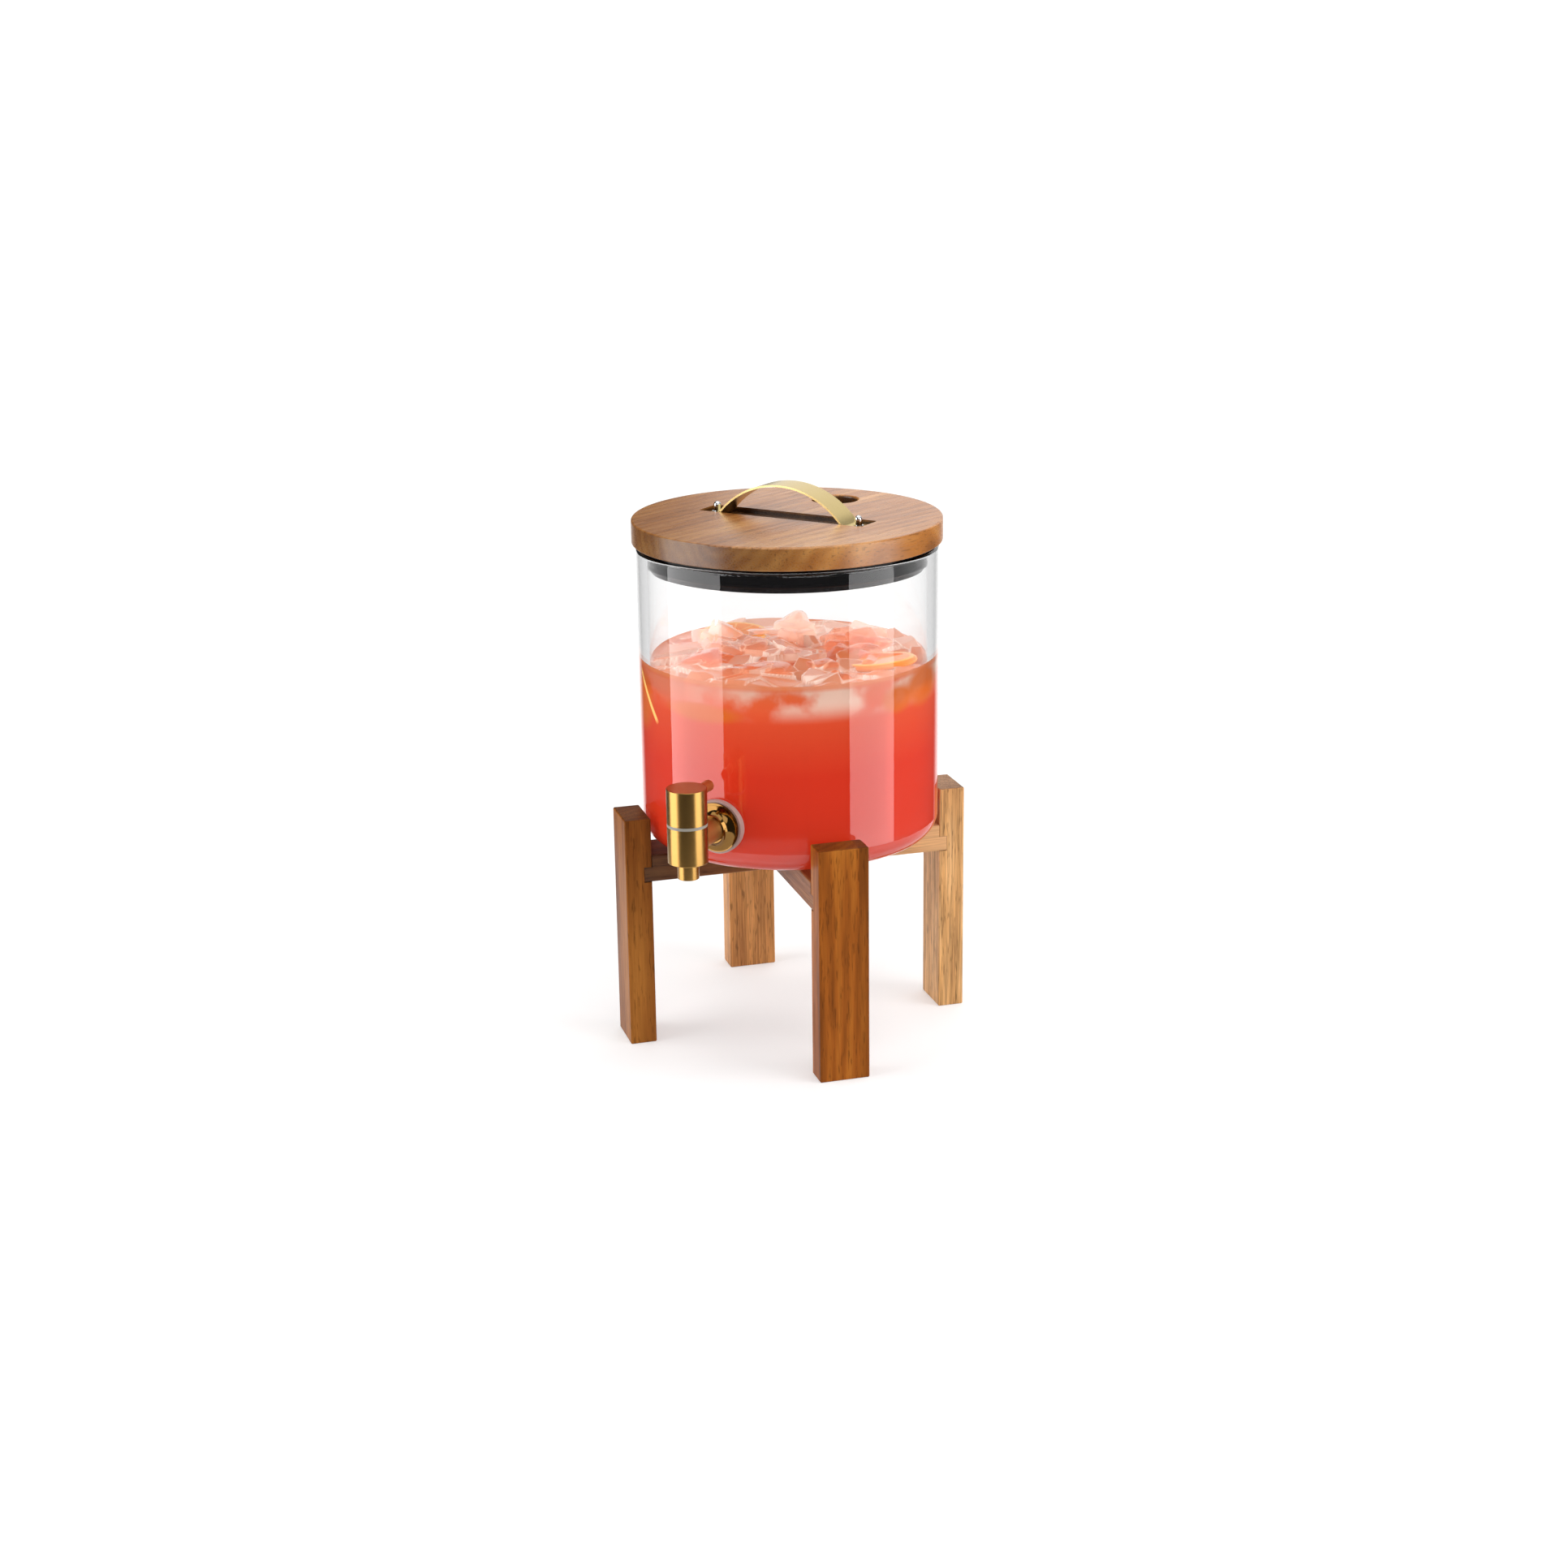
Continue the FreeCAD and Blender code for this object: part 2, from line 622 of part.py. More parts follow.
def make_lid():
    """The wooden lid: disc, turned step for the seal, strap slot, pouring hole and screw holes."""
    body = new_body("lid_disc", "lid_turn", "0", "lid_top")
    disc = [
        ("0", "lid_step_bottom"),
        ("lid_step_radius", "lid_step_bottom"),
        ("lid_step_radius", "-lid_thick"),
        ("lid_radius", "-lid_thick"),
        ("lid_radius", "0"),
        ("0", "0"),
    ]
    wood = revolve(body, outline(body, "XZ_Plane", "Disc", disc), "Turning")
    wood = round_edges(body, wood, "UpperEdge", "lid_edge", lambda edge: is_ring(edge, "lid_radius", "0"))
    wood = round_edges(body, wood, "LowerEdge", "lid_lower_edge",
                       lambda edge: is_ring(edge, "lid_radius", "-lid_thick"))
    hole = circles(body, "XY_Plane", "HoleOutline", [("0", "hole_offset", "hole_radius")])
    wood = pocket(body, hole, "Hole", "2 * (lid_thick + lid_step_depth)", both_ways=True)

    def is_hole_rim(edge):
        centre = edge.BoundBox.Center
        apart = abs(centre.y - measure("hole_offset")) + abs(centre.x) + abs(centre.z)
        return apart + edge.BoundBox.ZLength < TOLERANCE

    round_edges(body, wood, "HoleRim", "hole_round", is_hole_rim)
    slot = rectangle("-slot_length / 2", "-slot_width / 2", "slot_length / 2", "slot_width / 2")
    wood = pocket(body, outline(body, "XY_Plane", "SlotOutline", slot), "Slot", "slot_depth")

    def is_slot_corner(edge):
        box = edge.BoundBox
        apart = abs(abs(box.XMin) - measure("slot_length / 2"))
        apart += abs(abs(box.YMin) - measure("slot_width / 2"))
        return apart + box.XLength + box.YLength < TOLERANCE

    round_edges(body, wood, "SlotCorners", "slot_corner", is_slot_corner)
    pair = [(f"{sign}screw_spacing / 2", "0") for sign in ("-", "")]
    holes = circles(body, "XY_Plane", "ScrewHoleOutline", [spot + ("screw_bore",) for spot in pair])
    pocket(body, holes, "ScrewHoles", "2 * (lid_thick + lid_step_depth)", both_ways=True)
    recess = "screw_head_radius + screw_gap"
    sinks = circles(body, "XY_Plane", "RecessOutline", [spot + (recess,) for spot in pair])
    bind(sinks, "AttachmentOffset.Base.z", "lid_step_bottom")
    pocket(body, sinks, "Recesses", "screw_recess", reverse=True)

    seal = new_body("lid_seal", "lid_turn", "0", "lid_bottom")
    under = "-seal_flange_thick"
    upper_lip = f"{under} - seal_lip_drop"
    lower_lip = "seal_lead_height + seal_lip_reach + seal_lip_height - lid_step_depth"
    sleeve = [
        ("seal_bore", "-lid_step_depth"),
        ("seal_radius - seal_lead_taper", "-lid_step_depth"),
        ("seal_radius", "seal_lead_height - lid_step_depth"),
        ("seal_lip_radius", f"{lower_lip} - seal_lip_height"),
        ("seal_lip_radius", lower_lip),
        ("seal_radius", f"{lower_lip} + seal_lip_reach"),
        ("seal_radius", f"{upper_lip} - seal_lip_height - seal_lip_reach"),
        ("seal_lip_radius", f"{upper_lip} - seal_lip_height"),
        ("seal_lip_radius", upper_lip),
        ("seal_radius", f"{upper_lip} + seal_lip_reach"),
        ("seal_radius", under),
        ("jar_radius - seal_flange_inset", under),
        ("jar_radius - seal_flange_inset", "0"),
        ("seal_bore", "0"),
    ]
    revolve(seal, outline(seal, "XZ_Plane", "Sleeve", sleeve), "Ring")
    return [body, seal]


def make_handle():
    """The bowed strap with a flat foot in each end of the slot, its cap nuts and its screws."""
    place = ("lid_turn", "0", "lid_top")

    strap = new_body("handle_strap", *place)
    inner_bend = "strap_bend + strap_thick"
    inner_arch = "strap_radius - strap_thick"
    arch = [
        ("-foot_end", "foot_bottom"),
        ("-bend_out", "foot_bottom", inner_bend, "left"),
        ("-arch_inner_end", "arch_inner_level", inner_arch, "right"),
        ("arch_inner_end", "arch_inner_level", inner_bend, "left"),
        ("bend_out", "foot_bottom"),
        ("foot_end", "foot_bottom"),
        ("foot_end", "foot_top"),
        ("bend_out", "foot_top", "strap_bend", "right"),
        ("arch_outer_end", "arch_outer_level", "strap_radius", "left"),
        ("-arch_outer_end", "arch_outer_level", "strap_bend", "right"),
        ("-bend_out", "foot_top"),
        ("-foot_end", "foot_top"),
    ]
    band = pad(strap, outline(strap, "XZ_Plane", "Arch", arch), "Band", "strap_width", both_ways=True)

    def is_foot_corner(edge):
        box = edge.BoundBox
        return abs(abs(box.XMin) - measure("foot_end")) + box.XLength + box.YLength < TOLERANCE

    round_edges(strap, band, "FootCorners", "strap_corner", is_foot_corner)
    pair = [(f"{sign}screw_spacing / 2", "0", "screw_bore") for sign in ("-", "")]
    pocket(strap, circles(strap, "XY_Plane", "ScrewHoleOutline", pair), "ScrewHoles", "2 * strap_radius",
           both_ways=True)

    nut_place = ("lid_turn", "0", "lid_top + foot_top")
    nuts = new_body("handle_nuts", *nut_place)
    dome_start = "cap_nut_height - cap_nut_radius"
    middle = "screw_spacing / 2"
    dome = [
        (middle, "cap_nut_depth"),
        (f"{middle} + screw_bore", "cap_nut_depth"),
        (f"{middle} + screw_bore", "0"),
        (f"{middle} + cap_nut_flange", "0"),
        (f"{middle} + cap_nut_flange", "cap_nut_flange_thick"),
        (f"{middle} + cap_nut_radius", "cap_nut_flange_thick"),
        (f"{middle} + cap_nut_radius", dome_start, "cap_nut_radius", "left"),
        (middle, "cap_nut_height"),
    ]
    twin(nuts, outline(nuts, "XZ_Plane", "Dome", dome))

    screws = new_body("handle_screws", *place)
    tip = "foot_top + cap_nut_depth - screw_gap"
    shank = [
        (middle, "screw_seat - screw_head_height"),
        (f"{middle} + screw_head_radius", "screw_seat - screw_head_height"),
        (f"{middle} + screw_head_radius", "screw_seat"),
        (f"{middle} + screw_radius", "screw_seat"),
        (f"{middle} + screw_radius", tip),
        (middle, tip),
    ]
    twin(screws, outline(screws, "XZ_Plane", "Shank", shank))
    return [strap, nuts, screws]


def twin(body, sketch):
    """Turn a fastener about its own axis and mirror it to the other foot of the strap."""
    edge = sketch.addGeometry(Part.LineSegment(FreeCAD.Vector(measure("screw_spacing / 2"), 0, 0),
                                               FreeCAD.Vector(measure("screw_spacing / 2"), 1, 0)), True)
    sketch.addConstraint(Sketcher.Constraint("Vertical", edge))
    pin_point(sketch, edge, 1, "screw_spacing / 2", "0")
    sketch.addConstraint(Sketcher.Constraint("DistanceY", edge, 1, edge, 2, 1.0))
    first = revolve(body, sketch, "Fastener", "Axis0")
    pair = body.newObject("PartDesign::Mirrored", "Pair")
    pair.Originals = [first]
    pair.MirrorPlane = (plane_of(body, "YZ_Plane"), [""])
    body.Tip = pair
    doc.recompute()


parts = [make_leg(label, turn) for label, turn in LEG_TURNS.items()]
parts.append(make_crossbar("crossbar_lower", "0", "lap_level - joint_gap / 2", "bar_top + bar_height"))
parts.append(make_crossbar("crossbar_upper", "90", "bar_bottom - bar_height", "lap_level + joint_gap / 2"))
parts.append(make_jar())
parts.extend(make_tap_fixing())
parts.extend(make_tap_body())
parts.extend(make_tap_knob())
parts.extend(make_lid())
parts.extend(make_handle())
doc.recompute()

for item in doc.Objects:
    if "Invalid" in item.State or "Error" in item.State:
        raise RuntimeError(f"{item.Label} failed: {item.State}")
for body in parts:
    if body.Shape.isNull() or not body.Shape.isValid():
        raise RuntimeError(f"{body.Label} has no valid shape")

os.makedirs("parts", exist_ok=True)
for body in parts:
    body.Shape.exportStep(f"parts/{body.Label}.step")
    print(f"{body.Label}: {len(body.Shape.Solids)} solid, {body.Shape.Volume / 1000:.2f} cm3")
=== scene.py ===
"""Looks of a glass drinks dispenser on a wooden stand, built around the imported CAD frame."""

import logging
import math
from dataclasses import dataclass
from enum import Enum
from typing import Any

import bpy
import numpy as np
from mathutils import Matrix, Vector


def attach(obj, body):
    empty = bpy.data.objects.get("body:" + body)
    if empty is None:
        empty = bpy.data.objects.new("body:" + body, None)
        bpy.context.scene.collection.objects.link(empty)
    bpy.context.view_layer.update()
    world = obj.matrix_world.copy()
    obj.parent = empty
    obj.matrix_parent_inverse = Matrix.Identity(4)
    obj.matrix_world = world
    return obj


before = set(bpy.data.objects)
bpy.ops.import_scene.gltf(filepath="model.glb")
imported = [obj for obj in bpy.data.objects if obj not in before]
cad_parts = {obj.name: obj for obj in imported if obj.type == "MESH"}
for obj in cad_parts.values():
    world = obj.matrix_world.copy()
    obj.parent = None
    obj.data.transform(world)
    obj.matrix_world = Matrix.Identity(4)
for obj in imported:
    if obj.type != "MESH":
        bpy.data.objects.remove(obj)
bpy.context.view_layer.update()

LOG = logging.getLogger("dispenser")
MM = 0.001
POLE = 1e-5  # A radius this small closes a turned shape at its axis.
NOISE_LOW, NOISE_HIGH = 0.3, 0.7  # Nearly all values of a noise texture lie between these.

Point = tuple[float, float, float]
Pair = tuple[float, float]
Tree = bpy.types.NodeTree
Socket = bpy.types.NodeSocket
Material = bpy.types.Material


# Shared tools


def linear(code: str) -> tuple[float, float, float, float]:
    """Turn an sRGB hex colour into linear light.

    Args:
        code: The colour as "#RRGGBB".

    Returns:
        Red, green, blue and an alpha of one.
    """
    parts = np.array([int(code[i:i + 2], 16) for i in (1, 3, 5)]) / 255.0
    light = np.where(parts <= 0.04045, parts / 12.92, ((parts + 0.055) / 1.055) ** 2.4)
    return (*light.tolist(), 1.0)


def feed(tree: Tree, node: bpy.types.Node, inputs: dict[Any, Any]) -> None:
    """Set a node's constants and make its links.

    Args:
        tree: The node tree that the node is in.
        node: The node.
        inputs: Socket name or number to a constant, or to the output socket that feeds it.
    """
    for socket, value in inputs.items():
        if isinstance(value, Socket):
            tree.links.new(value, node.inputs[socket])
        else:
            node.inputs[socket].default_value = value


def add_node(tree: Tree, kind: str, inputs: dict[Any, Any] | None = None,
             stops: tuple[tuple[float, str], ...] = (), **settings: Any) -> bpy.types.Node:
    """Add one node with its settings, its constants and its links.

    Sockets 0 to 4 of a Map Range node are the value, the two ends of its range, and what those
    become. A Mix node of colours takes its share at 0 and its colours at 6 and 7, and gives the
    mixture at 2. A Mix node of numbers takes them at 2 and 3.

    Args:
        tree: The node tree to add to.
        kind: The node's type name.
        inputs: Socket name or number to a constant, or to the output socket that feeds it.
        stops: Places and colours, for a node that holds a colour ramp. The two ends come first.
        settings: The node's own properties.

    Returns:
        The new node.
    """
    node = tree.nodes.new(kind)
    for name, value in settings.items():
        setattr(node, name, value)
    feed(tree, node, inputs or {})
    for index, (place, code) in enumerate(stops):
        ramp = node.color_ramp.elements
        stop = ramp[index] if index < 2 else ramp.new(place)
        stop.position = place
        stop.color = linear(code)
    return node


def new_material(name: str) -> tuple[Material, Tree, bpy.types.Node]:
    """Start a material with one Principled surface.

    Args:
        name: The material's name.

    Returns:
        The material, its tree and its Principled node.
    """
    material = bpy.data.materials.new(name)
    material.use_nodes = True
    tree = material.node_tree
    return material, tree, tree.nodes["Principled BSDF"]


def lay_along(bearing: float | None) -> Point:
    """Work out the turn that brings a level direction to a pattern's Z.

    Args:
        bearing: The direction's angle from X, in degrees, or None for a pattern that is upright.

    Returns:
        Angles for a Mapping node.
    """
    if bearing is None:
        return (0.0, 0.0, 0.0)
    tip = Matrix.Rotation(-math.pi / 2, 3, "Y") @ Matrix.Rotation(-math.radians(bearing), 3, "Z")
    return tuple(tip.to_euler("XYZ"))


def turned(radius: np.ndarray, height: np.ndarray, angle: np.ndarray) -> np.ndarray:
    """Turn a profile about Z: the radius times the cosine and sine of each angle, at the height.

    Args:
        radius: The profile's distances from Z, in metres.
        height: The profile's heights, in metres.
        angle: The angles that it is carried to, in radians.

    Returns:
        Places in metres, as rows by columns by three.
    """
    return np.stack(np.broadcast_arrays(radius[:, None] * np.cos(angle), radius[:, None] * np.sin(angle),
                                        height[:, None]), axis=-1)


def grid_faces(rows: int, columns: int, wrap: bool) -> np.ndarray:
    """Number the corners of the four-sided faces between the points of a grid.

    Args:
        rows: How many rows of points there are.
        columns: How many columns of points there are.
        wrap: Whether the last column joins the first.

    Returns:
        Four point numbers for each face.
    """
    row, column = np.meshgrid(np.arange(rows - 1), np.arange(columns if wrap else columns - 1),
                              indexing="ij")
    after = (column + 1) % columns
    corners = (row * columns + column, row * columns + after,
               (row + 1) * columns + after, (row + 1) * columns + column)
    return np.stack(corners, axis=-1).reshape(-1, 4)


def grid_mesh(name: str, points: np.ndarray, wrap: bool = True,
              uv: np.ndarray | None = None) -> bpy.types.Object:
    """Make a smooth mesh from a grid of points.

    Args:
        name: The object's name.
        points: Places in metres, as rows by columns by three.
        wrap: Whether the last column joins the first.
        uv: One pair of numbers for each point, kept as the mesh's UV map.

    Returns:
        The new object, at the origin.
    """
    faces = grid_faces(*points.shape[:2], wrap)
    return mesh_object(name, points.reshape(-1, 3), faces, None if uv is None else uv.reshape(-1, 2))


def mesh_object(name: str, vertices: np.ndarray, faces: np.ndarray,
                uv: np.ndarray | None = None) -> bpy.types.Object:
    """Put arrays of vertices and faces into a smooth mesh object.

    Args:
        name: The object's name.
        vertices: Places in metres.
        faces: Vertex numbers of each face.
        uv: One pair of numbers for each vertex.

    Returns:
        The new object, linked to the scene.
    """
    mesh = bpy.data.meshes.new(name)
    mesh.from_pydata(vertices.tolist(), [], faces.tolist())
    mesh.polygons.foreach_set("use_smooth", np.ones(len(faces), dtype=bool))
    if uv is not None:
        layer = mesh.uv_layers.new(name="Surface")
        layer.data.foreach_set("uv", uv[faces.reshape(-1)].astype(np.float32).reshape(-1))
    mesh.validate()
    mesh.update()
    item = bpy.data.objects.new(name, mesh)
    bpy.context.scene.collection.objects.link(item)
    return item


def dress(names: tuple[str, ...], material: Material) -> None:
    """Give CAD nodes a finish.

    Args:
        names: The nodes.
        material: The finish.
    """
    for name in names:
        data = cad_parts[name].data
        data.materials.clear()
        data.materials.append(material)
        LOG.info("dressed %s with %s", name, material.name)


# Finishes


class Grain(Enum):
    """Which way the fibres of a board run."""

    UPRIGHT = "upright"
    LEVEL = "level"


class Across(Enum):
    """Which axis a glued seam crosses."""

    X = "X"
    Y = "Y"


@dataclass(frozen=True)
class OiledAcacia:
    """Sanded and oiled acacia: brown growth rings, short dark pores, and a low warm sheen.

    The pattern is solid, so end grain and long grain meet at every edge as in a sawn board.
    """

    name: str
    light: str
    middle: str
    dark: str
    pith: Point
    grain: Grain = Grain.UPRIGHT
    bearing: float = 0.0
    ring: float = 6.5 * MM
    figure: float = 0.13
    bend: float = 48 * MM
    sway: float = 26 * MM
    patch: float = 22 * MM
    fibre: float = 0.9 * MM
    streaks: Pair = (0.80, 1.12)
    pore: float = 1.1 * MM
    pore_shade: float = 0.62
    end_grain: float = 0.52
    seam: float | None = None
    seam_across: Across = Across.X
    strip_shift: Point = (0.11, 0.07, 0.4)
    strip_shade: float = 0.78
    cut_top: float | None = None
    cut_depth: float = 14.5 * MM
    cut_reach: Pair = (95 * MM, 97 * MM)
    cut_rim: Pair = (1.6 * MM, 0.4 * MM)
    cut_grade: float = 0.3
    painted_light_slope: float = 0.0
    painted_lit_end: str | None = None
    painted_lit_from: Pair = (15 * MM, 90 * MM)
    roughness: float = 0.38
    gloss: float = 0.22
    oil: str = "#FFFFFF"

    def material(self) -> Material:
        """Build the wood's nodes.

        Returns:
            The finished material.
        """
        material, tree, surface = new_material(self.name)
        place = add_node(tree, "ShaderNodeTexCoord").outputs["Object"]
        turn = lay_along(self.bearing if self.grain is Grain.LEVEL else None)
        board = add_node(tree, "ShaderNodeMapping", {"Vector": place, "Rotation": turn,
                                                     "Location": self.pith}).outputs[0]
        beyond = None
        if self.seam is not None:
            board, beyond = self.glue(tree, place, board)
        hue = self.hue(tree, board)
        # Fibres are finer than a pixel, so they are drawn about three times as wide.
        strands = add_node(tree, "ShaderNodeMapping", {"Vector": board, "Scale": (1.0, 1.0, 0.03)}).outputs[0]
        fibre = add_node(tree, "ShaderNodeTexNoise", {"Vector": strands, "Scale": 1 / self.fibre,
                                                      "Detail": 3.0}).outputs["Fac"]
        streak = add_node(tree, "ShaderNodeMapRange", {0: fibre, 1: NOISE_LOW, 2: NOISE_HIGH,
                                                       3: self.streaks[0], 4: self.streaks[1]}).outputs[0]
        grade = streak
        for factor in self.shades(tree, place, board, beyond):
            grade = add_node(tree, "ShaderNodeMath", {0: grade, 1: factor}, operation="MULTIPLY").outputs[0]
        colour = add_node(tree, "ShaderNodeVectorMath", {0: hue, "Scale": grade},
                          operation="SCALE").outputs[0]
        if self.painted_lit_end is not None:
            # Painted light: the right end is mixed towards a paler, yellower colour, as if lit from the
            # right.
            across = add_node(tree, "ShaderNodeSeparateXYZ", {0: place}).outputs["X"]
            share = add_node(tree, "ShaderNodeMapRange", {0: across, 1: self.painted_lit_from[0],
                                                          2: self.painted_lit_from[1], 3: 0.0, 4: 0.75}).outputs[0]
            painted_lit = add_node(tree, "ShaderNodeVectorMath", {0: linear(self.painted_lit_end)[:3], "Scale": streak},
                           operation="SCALE").outputs[0]
            colour = add_node(tree, "ShaderNodeMix", {0: share, 6: colour, 7: painted_lit},
                              data_type="RGBA").outputs[2]
        rough = add_node(tree, "ShaderNodeMapRange", {0: fibre, 1: NOISE_LOW, 2: NOISE_HIGH,
                                                      3: self.roughness + 0.1,
                                                      4: self.roughness - 0.04}).outputs[0]
        relief = add_node(tree, "ShaderNodeBump", {"Height": grade, "Strength": 0.22,
                                                   "Distance": 0.12 * MM}).outputs[0]
        feed(tree, surface, {"Base Color": colour, "Roughness": rough, "Specular IOR Level": self.gloss,
                             "Specular Tint": linear(self.oil), "Normal": relief})
        return material

    def glue(self, tree: Tree, place: Socket,
             board: Socket) -> tuple[Socket, Socket]:
        """Glue a strip on: beyond the seam is another board, so its pattern is shifted.

        Args:
            tree: The wood's node tree.
            place: Object coordinates.
            board: The pattern's coordinates.

        Returns:
            The pattern's new coordinates, and one beyond the seam and nought before it.
        """
        side = add_node(tree, "ShaderNodeSeparateXYZ", {0: place}).outputs[self.seam_across.value]
        beyond = add_node(tree, "ShaderNodeMath", {0: side, 1: self.seam},
                          operation="GREATER_THAN").outputs[0]
        shift = add_node(tree, "ShaderNodeVectorMath", {0: self.strip_shift, "Scale": beyond},
                         operation="SCALE").outputs[0]
        board = add_node(tree, "ShaderNodeVectorMath", {0: board, 1: shift}, operation="ADD").outputs[0]
        return board, beyond

    def hue(self, tree: Tree, board: Socket) -> Socket:
        """Draw growth rings, which sway over the length of the board, and broad patches of tone.

        Args:
            tree: The wood's node tree.
            board: The pattern's coordinates.

        Returns:
            The colour before it is shaded.
        """
        drawn = add_node(tree, "ShaderNodeMapping", {"Vector": board, "Scale": (1.0, 1.0, 0.13)}).outputs[0]
        wander = add_node(tree, "ShaderNodeTexNoise", {"Vector": drawn, "Scale": 1 / self.bend,
                                                       "Detail": 3.0}).outputs["Color"]
        sway = add_node(tree, "ShaderNodeVectorMath", {0: wander, 1: (0.5, 0.5, 0.5)},
                        operation="SUBTRACT").outputs[0]
        sway = add_node(tree, "ShaderNodeVectorMath", {0: sway, "Scale": self.sway},
                        operation="SCALE").outputs[0]
        warped = add_node(tree, "ShaderNodeVectorMath", {0: drawn, 1: sway}, operation="ADD").outputs[0]
        # Blender's wave repeats every pi / 10 at a scale of one.
        rings = add_node(tree, "ShaderNodeTexWave", {"Vector": warped, "Scale": math.pi / 10 / self.ring,
                                                     "Distortion": 0.6, "Detail": 2.0},
                         wave_type="RINGS", rings_direction="Z", wave_profile="SIN").outputs["Fac"]
        tone = add_node(tree, "ShaderNodeTexNoise", {"Vector": drawn, "Scale": 1 / self.patch,
                                                     "Detail": 4.0}).outputs["Fac"]
        mixed = add_node(tree, "ShaderNodeMath", {0: rings, 1: self.figure, 2: tone},
                         operation="MULTIPLY_ADD").outputs[0]
        return add_node(tree, "ShaderNodeValToRGB", {0: mixed},
                        stops=((0.26, self.dark), (0.84, self.light), (0.52, self.middle))).outputs[0]

    def shades(self, tree: Tree, place: Socket, board: Socket,
               beyond: Socket | None) -> list[Socket]:
        """Collect what darkens or lightens the wood besides its streaks, including painted shade in cuts and
        painted light along a board.

        Args:
            tree: The wood's node tree.
            place: Object coordinates.
            board: The pattern's coordinates.
            beyond: One beyond a glued seam, if the board has one.

        Returns:
            Factors for the colour.
        """
        dashes = add_node(tree, "ShaderNodeMapping", {"Vector": board, "Scale": (1.0, 1.0, 0.11)}).outputs[0]
        pores = add_node(tree, "ShaderNodeTexNoise", {"Vector": dashes, "Scale": 1 / self.pore,
                                                      "Detail": 1.0}).outputs["Fac"]
        factors = [add_node(tree, "ShaderNodeMapRange", {0: pores, 1: 0.60, 2: 0.70, 3: 1.0,
                                                         4: self.pore_shade}).outputs[0]]
        if beyond is not None:
            factors.append(add_node(tree, "ShaderNodeMapRange", {0: beyond, 3: 1.0,
                                                                 4: self.strip_shade}).outputs[0])
        # Painted shade in the slot and the hole below the lid's top.
        if self.cut_top is not None:
            factors.append(self.painted_cut_shade(tree, place))
        if self.painted_light_slope:
            # Painted light and shade: the board darkens towards -X and lightens towards +X, as if lit from
            # the right.
            across = add_node(tree, "ShaderNodeSeparateXYZ", {0: place}).outputs["X"]
            factors.append(add_node(tree, "ShaderNodeMath", {0: across, 1: self.painted_light_slope, 2: 1.0},
                                    operation="MULTIPLY_ADD").outputs[0])
        factors.append(self.end_shade(tree))
        return factors

    def end_shade(self, tree: Tree) -> Socket:
        """Darken end grain, which drinks in more oil than long grain.

        Args:
            tree: The wood's node tree.

        Returns:
            A factor for the colour, one on long grain.
        """
        along = (0.0, 0.0, 1.0)
        if self.grain is Grain.LEVEL:
            along = (math.cos(math.radians(self.bearing)), math.sin(math.radians(self.bearing)), 0.0)
        facing = add_node(tree, "ShaderNodeTexCoord").outputs["Normal"]
        share = add_node(tree, "ShaderNodeVectorMath", {0: facing, 1: along},
                         operation="DOT_PRODUCT").outputs["Value"]
        share = add_node(tree, "ShaderNodeMath", {0: share}, operation="ABSOLUTE").outputs[0]
        return add_node(tree, "ShaderNodeMapRange", {0: share, 1: 0.5, 2: 1.0, 3: 1.0, 4: self.end_grain},
                        interpolation_type="SMOOTHSTEP").outputs[0]

    def painted_cut_shade(self, tree: Tree, place: Socket) -> Socket:
        """Paint shade on the walls of cuts below a board's top, where the slot and the hole lie in shade.

        Args:
            tree: The wood's node tree.
            place: Object coordinates.

        Returns:
            A factor for the colour, one everywhere but in the cuts.
        """
        level = add_node(tree, "ShaderNodeVectorMath", {0: place, 1: (1.0, 1.0, 0.0)},
                         operation="MULTIPLY").outputs[0]
        out = add_node(tree, "ShaderNodeVectorMath", {0: level}, operation="LENGTH").outputs["Value"]
        inside = add_node(tree, "ShaderNodeMapRange", {0: out, 1: self.cut_reach[0], 2: self.cut_reach[1],
                                                       3: 1.0, 4: 0.0}).outputs[0]
        height = add_node(tree, "ShaderNodeSeparateXYZ", {0: place}).outputs["Z"]
        deep = add_node(tree, "ShaderNodeMapRange", {0: height, 1: self.cut_top - self.cut_rim[0],
                                                     2: self.cut_top - self.cut_rim[1], 3: 1.0,
                                                     4: 0.0}).outputs[0]
        above = add_node(tree, "ShaderNodeMath", {0: height, 1: self.cut_top - self.cut_depth},
                         operation="GREATER_THAN").outputs[0]
        cut = add_node(tree, "ShaderNodeMath", {0: inside, 1: deep}, operation="MULTIPLY").outputs[0]
        cut = add_node(tree, "ShaderNodeMath", {0: cut, 1: above}, operation="MULTIPLY").outputs[0]
        return add_node(tree, "ShaderNodeMapRange", {0: cut, 3: 1.0, 4: self.cut_grade}).outputs[0]


